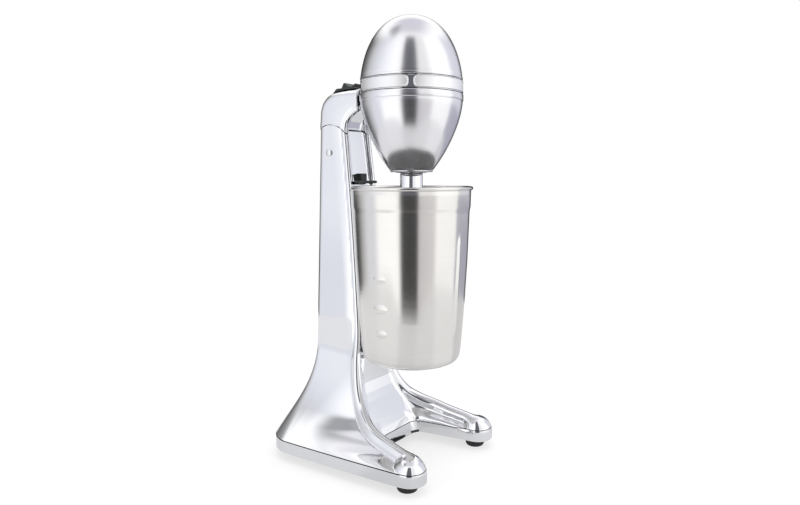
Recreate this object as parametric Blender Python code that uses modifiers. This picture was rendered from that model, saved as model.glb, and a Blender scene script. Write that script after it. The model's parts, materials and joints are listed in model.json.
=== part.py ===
"""Milkshake mixer: a motor head hinged on a cast stand, with a spindle that turns inside a hanging cup.

Lengths are in millimetres and MM turns them into metres. While the pieces are made, the cup's axis is
the Z axis, the floor is at z = 0, and the front of the mixer faces -Y. The last step moves everything
back so that the origin lies under the middle of the whole mixer.
"""
import math

import bmesh
import bpy
from mathutils import Euler, Vector

MM = 0.001
GAP = 0.3                       # between two pieces that touch

# Whole mixer
TOTAL_HEIGHT = 368.0
BASE_REAR = 112.0               # rear edge of the base, behind the cup's axis
CUP_RIM_R = 50.9

# Stand
SKIRT_BOTTOM = 8.0
SKIRT_TOP = 18.0
WALL = 2.2
LEDGE_Z = 84.0
COLUMN_LOW_Z = 88.0
COLUMN_REAR_LOW = 90.5
COLUMN_FRONT_LOW = 41.2
COLUMN_HALF_WIDTH_LOW = 21.2
COLUMN_TOP_Z = 276.0
COLUMN_REAR_TOP = 85.0
COLUMN_FRONT_TOP = 57.0
COLUMN_HALF_WIDTH_TOP = 17.6
BEAD_HEIGHT = 3.2               # how far the front beads stand out of the panel between them
FOOT_R = 8.4
FOOT_PLACES = ((-51.0, -33.8), (51.0, -33.8), (-56.0, 84.0), (56.0, 84.0))
BOSS_PLACES = ((-69.6, 60.0), (69.6, 60.0), (-62.6, -10.0), (62.6, -10.0))
BOSS_R = 3.2
SCREW_R = 1.5

# Head hinge, on the column between its two cheeks
PIVOT_Y = 75.5
PIVOT_Z = 261.0
SEAM_R = 23.5                   # the cheeks' round top, about the hinge
TILT_LIMIT = math.radians(35.0)
PIN_R = 2.4
LUG_R = 6.0
LUG_X = 9.6
LUG_THICKNESS = 3.6
BUSH_R = 3.9

# Elbow and switch
ARM_RECESS = 4.5
ARM_END_HALF_WIDTH = 17.0
ROCKER_Y = 62.0
ROCKER_Z = 309.5
ROCKER_LENGTH = 17.0
ROCKER_HALF_WIDTH = 7.5
ROCKER_SWING = 0.8              # room at each end of the rocker for its tilt

# Motor head
EQUATOR_Z = 304.0
EGG_R = 42.0
BAND_LOW = 306.5
BAND_HIGH = 316.9
NOSE_Z = 244.2
NOSE_R = 16.8
SHELL = 2.0
SHAFT_R = 4.0
CORE_LOW = 285.0
CORE_HIGH = 311.0
CORE_R = 15.0
COMMUTATOR_MID = 323.0

# Spindle and cup
COLLAR_R = 9.3
COLLAR_LOW = 205.0
ROD_R = 3.0
AGITATOR_Z = 101.0
AGITATOR_R = 13.5
RIM_Z = 231.2
RIM_BEAD_R = 1.5
CUP_BOTTOM = 87.3
CUP_WALL = 1.0

# Cup guide, cup rest and cord inlet, on the stand
GUIDE_Z = 239.6
GUIDE_LIP_Z = 234.6
REST_TOP = CUP_BOTTOM - GAP
REST_SCREW_Y = 42.1
GLAND_Z = 26.0
GLAND_R = 3.6

MATERIALS = {
    "chrome": ((0.78, 0.78, 0.80), 1.0, 0.10),
    "satin_chrome": ((0.72, 0.72, 0.74), 1.0, 0.24),
    "brushed_steel": ((0.66, 0.64, 0.62), 1.0, 0.30),
    "black_plastic": ((0.018, 0.022, 0.021), 0.0, 0.35),
    "black_rubber": ((0.02, 0.021, 0.022), 0.0, 0.75),
    "screw_steel": ((0.50, 0.50, 0.51), 1.0, 0.35),
    "core_steel": ((0.28, 0.28, 0.30), 1.0, 0.55),
    "copper_winding": ((0.62, 0.25, 0.10), 0.9, 0.40),
    "bronze": ((0.55, 0.38, 0.18), 1.0, 0.45),
    "nylon": ((0.75, 0.74, 0.70), 0.0, 0.50),
    "carbon": ((0.03, 0.03, 0.03), 0.0, 0.60),
}


# ---------------------------------------------------------------- scene and objects

def clear_scene():
    for obj in list(bpy.data.objects):
        bpy.data.objects.remove(obj, do_unlink=True)


def make_collection(name):
    collection = bpy.data.collections.new(name)
    bpy.context.scene.collection.children.link(collection)
    return collection


def make_material(name):
    colour, metallic, roughness = MATERIALS[name]
    material = bpy.data.materials.get(name) or bpy.data.materials.new(name)
    material.use_nodes = True
    shader = material.node_tree.nodes["Principled BSDF"]
    shader.inputs["Base Color"].default_value = (*colour, 1.0)
    shader.inputs["Metallic"].default_value = metallic
    shader.inputs["Roughness"].default_value = roughness
    return material


def make_empty(name, place, parent=None):
    """A group of pieces that move together, with its origin on their joint's axis."""
    empty = bpy.data.objects.new(name, None)
    empty.empty_display_size = 20 * MM
    PIECES.objects.link(empty)
    empty.location = Vector(place) * MM
    bpy.context.view_layer.update()
    attach(empty, parent)
    return empty


def attach(obj, parent):
    """Parents obj and leaves it where it is."""
    if parent is not None:
        bpy.context.view_layer.update()
        obj.parent = parent
        obj.matrix_parent_inverse = parent.matrix_world.inverted()


def add_piece(name, mesh, material, group, place=(0, 0, 0), turn=(0, 0, 0)):
    obj = bpy.data.objects.new(name, mesh)
    PIECES.objects.link(obj)
    obj.location = Vector(place) * MM
    obj.rotation_euler = Euler(turn)
    mesh.materials.clear()
    mesh.materials.append(make_material(material))
    attach(obj, group)
    return obj


def add_cutter(mesh, place=(0, 0, 0), turn=(0, 0, 0), group=None):
    obj = bpy.data.objects.new("cutter", mesh)
    CUTTERS.objects.link(obj)
    obj.location = Vector(place) * MM
    obj.rotation_euler = Euler(turn)
    obj.hide_render = True
    obj.display_type = "WIRE"
    attach(obj, group)
    return obj


def combine(obj, other, operation):
    modifier = obj.modifiers.new(operation.lower(), "BOOLEAN")
    modifier.operation = operation
    modifier.solver = "EXACT"
    modifier.object = other


def cut(obj, mesh, place=(0, 0, 0), turn=(0, 0, 0)):
    combine(obj, add_cutter(mesh, place, turn, obj.parent), "DIFFERENCE")


def join(obj, mesh, place=(0, 0, 0), turn=(0, 0, 0)):
    combine(obj, add_cutter(mesh, place, turn, obj.parent), "UNION")


def bevel(obj, width, segments=2, angle=35.0):
    modifier = obj.modifiers.new("bevel", "BEVEL")
    modifier.width = width * MM
    modifier.segments = segments
    modifier.limit_method = "ANGLE"
    modifier.angle_limit = math.radians(angle)


# ---------------------------------------------------------------- meshes

ALONG_X = (0, math.pi / 2, 0)
ALONG_Y = (math.pi / 2, 0, 0)


def mesh_from(bm, name):
    mesh = bpy.data.meshes.new(name)
    bm.to_mesh(mesh)
    bm.free()
    return mesh


def box_mesh(size):
    bm = bmesh.new()
    bmesh.ops.create_cube(bm, size=1.0)
    bmesh.ops.scale(bm, vec=Vector(size) * MM, verts=bm.verts)
    return mesh_from(bm, "box")


def rod_mesh(radius, length, sides=20):
    bm = bmesh.new()
    bmesh.ops.create_cone(bm, cap_ends=True, segments=sides, radius1=radius * MM, radius2=radius * MM,
                          depth=length * MM)
    mesh = mesh_from(bm, "rod")
    mesh.shade_smooth()
    mesh.set_sharp_from_angle(angle=math.radians(35))
    return mesh


def profile_mesh(profile, closed):
    """A profile of (radius, height) in the XZ plane, which a Screw modifier turns about Z."""
    mesh = bpy.data.meshes.new("profile")
    count = len(profile)
    edges = [(i, i + 1) for i in range(count - 1)]
    if closed:
        edges.append((count - 1, 0))
    mesh.from_pydata([(r * MM, 0.0, z * MM) for r, z in profile], edges, [])
    return mesh


def turned(name, profile, material, group, closed=True, steps=32, place=(0, 0, 0), turn=(0, 0, 0)):
    obj = add_piece(name, profile_mesh(profile, closed), material, group, place, turn)
    screw = obj.modifiers.new("turn", "SCREW")
    screw.axis = "Z"
    screw.steps = steps
    screw.render_steps = steps
    screw.use_merge_vertices = True
    screw.merge_threshold = 0.00001
    screw.use_smooth_shade = True
    return obj


def tube_profile(inner, outer, low, high):
    return [(outer, high), (outer, low), (inner, low), (inner, high)]


def side_plate_mesh(outline, thickness):
    """A flat outline of (y, z) points, extruded equally to both sides of the plane x = 0."""
    curve = bpy.data.curves.new("outline", "CURVE")
    curve.dimensions = "2D"
    curve.fill_mode = "BOTH"
    curve.extrude = thickness / 2 * MM
    spline = curve.splines.new("POLY")
    spline.points.add(len(outline) - 1)
    spline.use_cyclic_u = True
    for point, (y, z) in zip(spline.points, outline):
        point.co = (y * MM, z * MM, 0.0, 1.0)
    obj = bpy.data.objects.new("outline", curve)
    bpy.context.scene.collection.objects.link(obj)
    bpy.context.view_layer.update()
    evaluated = obj.evaluated_get(bpy.context.evaluated_depsgraph_get())
    mesh = bpy.data.meshes.new_from_object(evaluated)
    bpy.data.objects.remove(obj, do_unlink=True)
    bm = bmesh.new()
    bm.from_mesh(mesh)
    bmesh.ops.remove_doubles(bm, verts=bm.verts, dist=0.000001)
    for vert in bm.verts:
        vert.co = (vert.co.z, vert.co.x, vert.co.y)
    bmesh.ops.recalc_face_normals(bm, faces=bm.faces)
    bpy.data.meshes.remove(mesh)
    return mesh_from(bm, "plate")


def mirrored(half):
    """Half an outline, from its rear centre round the right side to its front centre, made whole."""
    return half + [(-x, *rest) for x, *rest in half[-2:0:-1]]


def loft_mesh(rings, capped):
    """Skins rings of (x, y, z) points that run clockwise seen from the loft's far end."""
    count = len(rings[0])
    verts = [Vector(point) * MM for ring in rings for point in ring]
    faces = []
    for level in range(len(rings) - 1):
        low, high = level * count, (level + 1) * count
        for i in range(count):
            j = (i + 1) % count
            faces.append((low + i, high + i, high + j, low + j))
    if capped:
        faces.append(tuple(range(count)))
        faces.append(tuple(reversed(range(len(verts) - count, len(verts)))))
    mesh = bpy.data.meshes.new("loft")
    mesh.from_pydata(verts, [], faces)
    mesh.shade_smooth()
    mesh.set_sharp_from_angle(angle=math.radians(45))
    return mesh


def sector_mesh(inner, outer, low, high, middle, half_angle, steps):
    """A piece of a ring about Z, between two radii, two heights and two angles."""
    start, stop = middle - half_angle, middle + half_angle
    rings = []
    for i in range(steps + 1):
        angle = math.radians(stop + (start - stop) * i / steps)
        across = [(inner, low), (inner, high), (outer, high), (outer, low)]
        rings.append([(r * math.cos(angle), r * math.sin(angle), z) for r, z in across])
    bm = bmesh.new()
    bm.from_mesh(loft_mesh(rings, capped=True))
    bmesh.ops.recalc_face_normals(bm, faces=bm.faces)
    return mesh_from(bm, "sector")


def bezier(start, pull_start, pull_end, end, count):
    points = []
    for i in range(count + 1):
        t = i / count
        weights = ((1 - t) ** 3, 3 * t * (1 - t) ** 2, 3 * t * t * (1 - t), t ** 3)
        points.append(tuple(sum(w * p[axis] for w, p in zip(weights, (start, pull_start, pull_end, end)))
                            for axis in (0, 1)))
    return points


# ---------------------------------------------------------------- stand

def casing_section(half_width, depth, recess):
    """Half a section of the column or the arm, as (x, distance from its rear face)."""
    w, d = half_width, depth
    return [(0, 0), (0.43 * w, 0.2), (0.735 * w, 1.8), (0.915 * w, 5.2), (0.985 * w, 10.4), (w, 0.58 * d),
            (0.99 * w, d - 5), (0.945 * w, d - 1.5), (0.83 * w, d), (0.725 * w, d - 0.8), (0.68 * w, d - 2),
            (0.655 * w, d - recess + 0.3), (0.62 * w, d - recess), (0.34 * w, d - recess), (0, d - recess)]


# Right half of the base at each height, from the rear centre round the rear corner, along the side,
# round the tip of the leg, back along its inner wall, and across the arch to the front centre.
BASE_SECTIONS = {
    SKIRT_BOTTOM: [(0, 112), (34, 108.7), (62, 102.5), (72, 93), (75.9, 79), (71, 22), (64.5, -36), (60.5, -45.5),
                   (51, -49.4), (41.5, -45.5), (37.5, -36), (33.5, -14), (29, 6.5), (15, 13.3), (0, 14.4)],
    SKIRT_TOP: [(0, 112), (34, 108.7), (62, 102.5), (72, 93), (75.9, 79), (71, 22), (64.5, -36), (60.5, -45.5),
                (51, -49.4), (41.5, -45.5), (37.5, -36), (33.5, -14), (29, 6.8), (15, 15.4), (0, 16.8)],
    24.0: [(0, 110), (33, 106.6), (58, 100), (67, 91), (70, 78), (65.5, 22), (60.5, -31), (57, -42),
           (51, -46.4), (44, -42.5), (39.2, -33), (34, -13), (29, 7.6), (15, 18), (0, 19.4)],
    28.0: [(0, 108), (31, 104.4), (53, 97.5), (61, 89), (64, 77), (59.5, 22), (55.5, -24), (53.6, -36.5),
           (50.3, -41), (46.6, -37), (43.4, -27), (36.5, -10), (29, 8.8), (15, 20.4), (0, 21.6)],
    31.0: [(0, 106.3), (29.5, 102.6), (50, 96), (57.8, 87.5), (60.8, 76), (56, 22), (53, -13), (51.2, -25.5),
           (48.4, -30), (45.4, -25), (42, -15), (37.3, -3), (28.8, 10.3), (15, 22.2), (0, 23.5)],
    34.5: [(0, 104.9), (28, 101.1), (46.5, 94.5), (54.5, 86), (57.3, 75), (52.5, 23), (49.6, -2), (47.8, -12),
           (45.1, -15.5), (42.2, -11), (39, -2), (35, 5.5), (28.2, 13.3), (15, 24.3), (0, 25.6)],
    39.5: [(0, 102.9), (25.5, 99), (42, 92.5), (49.7, 84.5), (52.3, 74), (48, 26), (44.8, 11), (43, 4),
           (40.1, 0.8), (37.3, 4), (35, 9), (32, 13.8), (27.2, 18.8), (15, 27.4), (0, 28.6)],
    45.0: [(0, 100.9), (23, 97), (37.5, 90.5), (44.5, 83), (47.2, 73), (43.5, 36), (39.3, 24.5), (37, 19.3),
           (33.6, 16.8), (30.6, 18.6), (28.8, 21.2), (27, 23.6), (24, 26.6), (14, 31.4), (0, 32.2)],
    52.0: [(0, 98.6), (20, 94.8), (32.5, 88.5), (38.8, 81.5), (41.3, 72), (38, 42), (33.4, 32.5), (30.8, 28.4),
           (27.2, 26.3), (24.2, 27.6), (22.5, 29.4), (21, 31.2), (18.5, 33.6), (12, 35.7), (0, 36.1)],
    66.0: [(0, 94.7), (15, 92.4), (24, 86.8), (29, 80.6), (31.2, 72), (29.5, 50), (27, 41), (25, 37),
           (22, 34.9), (19.2, 35.8), (17.6, 37.1), (16.4, 38.2), (15, 38.9), (9, 39.2), (0, 39.2)],
    LEDGE_Z - 0.5: [(0, 91.2), (10.4, 90.6), (17.4, 88.1), (21.3, 83.6), (22.9, 77.5), (22.8, 60), (22.2, 45.8),
                    (21, 41.8), (18.5, 39.8), (16.2, 40.3), (15.1, 40.6), (14.3, 40.7), (13.4, 40.7), (7.2, 40.7),
                    (0, 40.7)],
}


def column_section(z):
    """Half a section of the column: its front leans forward on a gentle curve towards the base."""
    t = (z - COLUMN_LOW_Z) / (COLUMN_TOP_Z - COLUMN_LOW_Z)
    front = COLUMN_FRONT_LOW + (COLUMN_FRONT_TOP - COLUMN_FRONT_LOW) * (0.55 * t + 0.45 * t * t)
    rear = COLUMN_REAR_LOW + (COLUMN_REAR_TOP - COLUMN_REAR_LOW) * t
    half_width = COLUMN_HALF_WIDTH_LOW + (COLUMN_HALF_WIDTH_TOP - COLUMN_HALF_WIDTH_LOW) * t
    return [(x, rear - s) for x, s in casing_section(half_width, rear - front, BEAD_HEIGHT)]


def cheek_height(y):
    return PIVOT_Z + math.sqrt(SEAM_R ** 2 - (y - PIVOT_Y) ** 2)


def panel_front(z):
    """The y of the flat panel between the column's beads."""
    return column_section(z)[-1][1]


def stand_rings():
    rings = [mirrored([(x, y, z) for x, y in half]) for z, half in BASE_SECTIONS.items()]
    for z in (LEDGE_Z + 0.5, 110.0, 145.0, 182.0, 215.0, 248.0):
        rings.append(mirrored([(x, y, z) for x, y in column_section(max(z, COLUMN_LOW_Z))]))
    rings.append(mirrored([(x, y, cheek_height(y)) for x, y in column_section(COLUMN_TOP_Z)]))
    return rings


def make_stand_casing():
    casing = add_piece("stand_casing", loft_mesh(stand_rings(), capped=False), "chrome", STAND)
    shell = casing.modifiers.new("wall", "SOLIDIFY")
    shell.thickness = WALL * MM
    shell.offset = -1.0
    for x, y in BOSS_PLACES:
        join(casing, rod_mesh(BOSS_R, 7.0, 12), (x, y, SKIRT_BOTTOM + 2.5 + 3.5))
    for x, y in BOSS_PLACES:
        cut(casing, rod_mesh(SCREW_R + GAP, 7.5, 12), (x, y, SKIRT_BOTTOM + 4.5))
    cut(casing, rod_mesh(PIN_R + GAP, 60.0, 16), (0, PIVOT_Y, PIVOT_Z), ALONG_X)
    cut(casing, rod_mesh(GLAND_R + GAP, 20.0, 16), (0, BASE_REAR - 6, GLAND_Z), ALONG_Y)
    cut(casing, rod_mesh(SCREW_R + GAP, 8.0, 12), (0, panel_front(GUIDE_Z), GUIDE_Z), ALONG_Y)
    cut(casing, rod_mesh(SCREW_R + GAP, 8.0, 12), (0, REST_SCREW_Y, LEDGE_Z))


def inset(points, distance):
    """Moves a clockwise outline inwards by the same distance everywhere."""
    moved = []
    count = len(points)
    for i, point in enumerate(points):
        before = Vector(points[i - 1])
        here = Vector(point)
        after = Vector(points[(i + 1) % count])
        first = (here - before).normalized()
        second = (after - here).normalized()
        normal = Vector((first.y + second.y, -first.x - second.x)).normalized()
        spread = normal.dot(Vector((first.y, -first.x)))
        moved.append(tuple(here + normal * distance / max(spread, 0.5)))
    return moved


def make_base_plate():
    outline = inset(mirrored(BASE_SECTIONS[SKIRT_BOTTOM]), WALL + 1.0)
    low = SKIRT_BOTTOM + GAP
    rings = [[(x, y, z) for x, y in outline] for z in (low, low + 1.9)]
    plate = add_piece("base_plate", loft_mesh(rings, capped=True), "black_plastic", STAND)
    for x, y in BOSS_PLACES:
        cut(plate, rod_mesh(SCREW_R + GAP, 8.0, 12), (x, y, low + 1))
    for x, y in FOOT_PLACES:
        cut(plate, rod_mesh(2.2 + GAP, 8.0, 12), (x, y, low + 1))


def make_feet_and_screws():
    foot = [(0.0, 12.6), (2.2, 12.6), (2.2, SKIRT_BOTTOM), (FOOT_R, SKIRT_BOTTOM - 0.4), (FOOT_R - 0.2, 1.0),
            (FOOT_R - 1.2, 0.0), (0.0, 0.0)]
    names = ("front_left", "front_right", "rear_left", "rear_right")
    for name, (x, y) in zip(names, FOOT_PLACES):
        turned("foot_" + name, foot, "black_rubber", STAND, closed=False, steps=16, place=(x, y, 0))
    names = ("rear_left", "rear_right", "front_left", "front_right")
    for name, (x, y) in zip(names, BOSS_PLACES):
        make_screw("base_screw_" + name, (x, y, SKIRT_BOTTOM - GAP), (math.pi, 0, 0), 7.5, STAND)


def make_screw(name, place, turn, length, group, head_r=2.8):
    """A pan-head screw. Its head's underside is at place, and its shank runs down the turned -Z axis."""
    profile = [(0.0, 1.4), (head_r - 0.8, 1.3), (head_r, 0.0), (SCREW_R, 0.0), (SCREW_R, -length), (0.0, -length)]
    turned(name, profile, "screw_steel", group, closed=False, steps=10, place=place, turn=turn)


def make_cup_guide():
    """The hook over the cup's rear rim: a block on the column with a lip that follows the rim."""
    mesh = sector_mesh(48.9, 52.3, GUIDE_LIP_Z, GUIDE_LIP_Z + 2.4, 90.0, 15.5, 8)
    guide = add_piece("cup_guide", mesh, "black_plastic", STAND)
    rear = panel_front(GUIDE_LIP_Z) - GAP
    depth = rear - 51.3
    join(guide, box_mesh((12.0, depth, 8.6)), (0, rear - depth / 2, GUIDE_LIP_Z + 4.3))
    cut(guide, rod_mesh(SCREW_R + GAP, 5.0, 12), (0, rear, GUIDE_Z), ALONG_Y)
    inner_face = panel_front(GUIDE_Z) + WALL + 2.5 * GAP
    make_screw("guide_screw", (0, inner_face, GUIDE_Z), (-math.pi / 2, 0, 0), 4.6, STAND)


def make_cup_rest():
    """The shelf that carries the rear edge of the cup's bottom."""
    rest = add_piece("cup_rest", box_mesh((24.0, 12.0, 1.8)), "chrome", STAND,
                     (0, panel_front(COLUMN_LOW_Z) - GAP - 6.0, REST_TOP - 0.9))
    bevel(rest, 0.5, 1)
    cut(rest, rod_mesh(SCREW_R + GAP, 8.0, 12), (0, REST_SCREW_Y, REST_TOP))
    make_screw("rest_screw", (0, REST_SCREW_Y, REST_TOP + GAP), (0, 0, 0), 6.0, STAND, 2.0)


def make_hinge_pin():
    half = column_section(PIVOT_Z)[5][0] + GAP
    profile = [(0.0, half + 0.9), (2.2, half + 0.9), (3.1, half + 0.2), (3.1, half), (PIN_R, half),
               (PIN_R, -half - 1.0), (0.0, -half - 1.0)]
    turned("hinge_pin", profile, "chrome", STAND, closed=False, steps=16, place=(0, PIVOT_Y, PIVOT_Z),
           turn=(0, -math.pi / 2, 0))
    turned("pin_retainer", tube_profile(PIN_R + GAP, 3.6, half, half + 0.9), "screw_steel", STAND, steps=16,
           place=(0, PIVOT_Y, PIVOT_Z), turn=ALONG_X)


def make_cord_parts():
    """The inlet bush in the rear of the base, and the block that the supply wires are clamped in."""
    turned("cord_gland", tube_profile(2.4, GLAND_R, -4.0, 3.4), "black_rubber", STAND, steps=16,
           place=(0, BASE_REAR - 3.8, GLAND_Z), turn=(-math.pi / 2, 0, 0))
    block = add_piece("terminal_block", box_mesh((22, 10, 8)), "nylon", STAND,
                      (0, 84.0, SKIRT_BOTTOM + 2.5 + 4.0))
    bevel(block, 0.8, 1)


# ---------------------------------------------------------------- head: arm and hinge

# Side view of the elbow: matching (y, z) points on its rear and top face and on its inner beads.
ARM_STATIONS = (((85.4, 270.0), (56.6, 270.0)), ((85.1, 283.0), (57.2, 279.0)), ((84.4, 290.5), (56.8, 283.2)),
                ((81.6, 297.2), (55.7, 286.6)), ((76.6, 303.0), (53.9, 289.2)), ((70.0, 308.0), (51.7, 291.2)),
                ((62.0, 311.2), (49.3, 292.8)), ((53.0, 312.0), (46.9, 293.9)), ((44.5, 312.0), (44.5, 294.6)))


def arm_rings():
    rings = []
    last = len(ARM_STATIONS) - 1
    for i, (outer, inner) in enumerate(ARM_STATIONS):
        outer, inner = Vector(outer), Vector(inner)
        along = (inner - outer).normalized()
        half_width = COLUMN_HALF_WIDTH_TOP + (ARM_END_HALF_WIDTH - COLUMN_HALF_WIDTH_TOP) * i / last
        half = casing_section(half_width, (inner - outer).length, ARM_RECESS)
        rings.append(mirrored([(x, *(outer + along * s)) for x, s in half]))
    return rings


def lug_outline():
    """One of the two lugs that reach down to the hinge pin, clear of the column's rear wall at full tilt."""
    pivot = Vector((PIVOT_Y, PIVOT_Z))
    lean = math.radians(91.0) + TILT_LIMIT
    arc = [pivot + LUG_R * Vector((math.cos(lean - math.pi / 2 - i * math.pi / 8),
                                   math.sin(lean - math.pi / 2 - i * math.pi / 8))) for i in range(9)]
    along = Vector((math.cos(lean), math.sin(lean)))
    rear_top = arc[0] + along * 27.0
    return [tuple(rear_top)] + [tuple(point) for point in arc] + [(63.2, 279.0), (62.4, 287.5)]


def make_arm():
    arm = add_piece("arm_casing", loft_mesh(arm_rings(), capped=False), "chrome", HEAD)
    shell = arm.modifiers.new("wall", "SOLIDIFY")
    shell.thickness = WALL * MM
    shell.offset = -1.0
    cut(arm, rod_mesh(SEAM_R + 0.7, 60.0, 48), (0, PIVOT_Y, PIVOT_Z), ALONG_X)
    for x in (-LUG_X, LUG_X):
        join(arm, side_plate_mesh(lug_outline(), LUG_THICKNESS), (x, 0, 0))
    cut(arm, rod_mesh(BUSH_R + GAP, 60.0, 16), (0, PIVOT_Y, PIVOT_Z), ALONG_X)
    opening = (2 * ROCKER_HALF_WIDTH + 1.6, ROCKER_LENGTH + 2 * ROCKER_SWING + 0.4, 14.0)
    cut(arm, box_mesh(opening), (0, ROCKER_Y, 312.0))
    for name, x in (("left", -LUG_X), ("right", LUG_X)):
        turned("hinge_bush_" + name, tube_profile(PIN_R + GAP, BUSH_R, -LUG_THICKNESS / 2, LUG_THICKNESS / 2),
               "nylon", HEAD, steps=16, place=(x, PIVOT_Y, PIVOT_Z), turn=ALONG_X)


def make_switch():
    """A bezel that follows the arm's top, the rocker in it, and the switch body under it."""
    outline = [(50.5, 312.3), (56.0, 312.3), (62.0, 311.6), (66.0, 310.2), (70.0, 308.4), (75.5, 304.6),
               (76.0, 306.0), (73.0, 311.6), (71.6, 313.6), (50.5, 313.8), (49.8, 313.0)]
    bezel = add_piece("switch_bezel", side_plate_mesh(outline, 21.0), "black_plastic", HEAD)
    opening = (2 * ROCKER_HALF_WIDTH + 0.8, ROCKER_LENGTH + 2 * ROCKER_SWING, 30.0)
    cut(bezel, box_mesh(opening), (0, ROCKER_Y, 312.0))
    outline = [(53.6, 311.0), (53.4, 317.2), (54.2, 319.0), (56.0, 318.2), (59.0, 317.0), (62.0, 317.4),
               (64.6, 319.4), (66.4, 320.6), (68.0, 319.8), (70.4, 316.0), (70.4, 311.0), (66.5, 307.0),
               (57.5, 307.0)]
    rocker = add_piece("speed_rocker", side_plate_mesh(outline, 2 * ROCKER_HALF_WIDTH), "black_plastic", ROCKER)
    bevel(rocker, 0.5, 1, 50.0)
    body = add_piece("switch_body", box_mesh((17.0, 15.0, 5.0)), "black_plastic", HEAD,
                     (0, ROCKER_Y - 0.5, 303.4))
    bevel(body, 0.6, 1)


def make_neck():
    """The block that ties the motor housing to the arm, with the wires' passage through it."""
    neck = add_piece("neck_block", box_mesh((22.0, 14.0, 6.0)), "black_plastic", HEAD, (0, 45.5, 304.9))
    cut(neck, rod_mesh(EGG_R + GAP, 30.0, 64), (0, 0, 306.0))
    cut(neck, rod_mesh(2.2, 40.0, 12), (0, 45.0, 304.8), ALONG_Y)
    for name, x in (("left", -8.0), ("right", 8.0)):
        cut(neck, rod_mesh(SCREW_R + GAP, 12.0, 12), (x, 44.0, 304.0), ALONG_Y)
        make_screw("neck_screw_" + name, (x, 37.8, 304.0), (math.pi / 2, 0, 0), 10.0, HEAD)


# ---------------------------------------------------------------- head: housing and motor

def cap_radius(z):
    """Radius of the upper half of the head, a blunt egg."""
    t = (z - EQUATOR_Z) / (TOTAL_HEIGHT - EQUATOR_Z)
    return EGG_R * (1 - t ** 2.2) ** (1 / 2.2)


def lower_outline(offset, count):
    """The lower half of the head, from its equator down to its nose."""
    return bezier((EGG_R - offset, EQUATOR_Z), (EGG_R - offset, EQUATOR_Z - 16),
                  (NOSE_R + 13.8 - offset, NOSE_Z + 18.4), (NOSE_R - offset, NOSE_Z + offset * 0.6), count)


def make_housing():
    steps = 32
    levels = 6
    outer = []
    inner = []
    for i in range(levels + 1):
        angle = i / levels * math.pi / 2
        z = BAND_HIGH + GAP + (TOTAL_HEIGHT - BAND_HIGH - GAP) * math.sin(angle)
        outer.append((cap_radius(z) if i < levels else 0.0, z))
        inner_z = BAND_HIGH + GAP + (TOTAL_HEIGHT - SHELL - BAND_HIGH - GAP) * math.sin(angle)
        inner.append((max(cap_radius(inner_z) - SHELL, 0.0) if i < levels else 0.0, inner_z))
    turned("housing_cap", outer[::-1] + inner, "satin_chrome", HEAD, closed=False, steps=steps)

    outer = [(EGG_R - 0.1, BAND_LOW - GAP)] + lower_outline(0.0, 6)
    inner = [(EGG_R - SHELL, BAND_LOW - GAP)] + lower_outline(SHELL, 6)[:-1]
    nose = [(13.4, NOSE_Z), (13.4, 248.0), (5.3, 248.0), (5.3, 258.0), (8.6, 258.0), (8.6, 251.0), (15.5, 251.0)]
    lower = turned("housing_lower", outer + nose + inner[::-1], "satin_chrome", HEAD, steps=steps)
    cut(lower, rod_mesh(2.2, 12.0, 12), (0, 41.0, 304.0), ALONG_Y)
    for x in (-8.0, 8.0):
        cut(lower, rod_mesh(SCREW_R + GAP, 12.0, 12), (x, 41.0, 304.0), ALONG_Y)

    turned("trim_band", tube_profile(EGG_R - 2.4, EGG_R - 0.5, BAND_LOW, BAND_HIGH), "chrome", HEAD, steps=steps)
    for name, middle, half_angle in (("front", 270.0, 51.0), ("left", 180.0, 33.0), ("right", 0.0, 33.0)):
        mesh = sector_mesh(EGG_R - 0.2, EGG_R + 0.3, BAND_LOW + 1.0, BAND_HIGH - 1.0, middle, half_angle, 10)
        add_piece("badge_plate_" + name, mesh, "satin_chrome", HEAD)
    turned("nose_ring", [(13.0, 247.6), (13.0, 244.4), (12.4, 243.6), (10.4, 243.6), (10.0, 244.2), (10.0, 247.6)],
           "chrome", HEAD, steps=20)


def make_stator():
    core = turned("stator_core", tube_profile(26.0, 30.0, CORE_LOW, CORE_HIGH), "core_steel", HEAD, steps=24)
    height = CORE_HIGH - CORE_LOW
    middle = (CORE_LOW + CORE_HIGH) / 2
    for side in (-1, 1):
        join(core, box_mesh((11.0, 14.0, height)), (side * 22.0, 0, middle))
        join(core, box_mesh((4.0, 19.0, height)), (side * 16.6, 0, middle))
    cut(core, rod_mesh(CORE_R + 0.5, 60.0, 24), (0, 0, middle))
    for name, side in (("left", -1), ("right", 1)):
        coil = add_piece("field_coil_" + name, box_mesh((4.6, 21.0, height + 11.0)), "copper_winding", HEAD,
                         (side * 21.4, 0, middle))
        bevel(coil, 1.2, 1)
        cut(coil, box_mesh((10.0, 14.8, height + 0.8)), (side * 21.4, 0, middle))
    for name, y in (("front", -28.0), ("rear", 28.0)):
        cut(core, rod_mesh(SCREW_R + GAP, 60.0, 12), (0, y, middle))
        make_screw("stator_screw_" + name, (0, y, CORE_HIGH + 7.0), (0, 0, 0), height + 11.0, HEAD)


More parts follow.
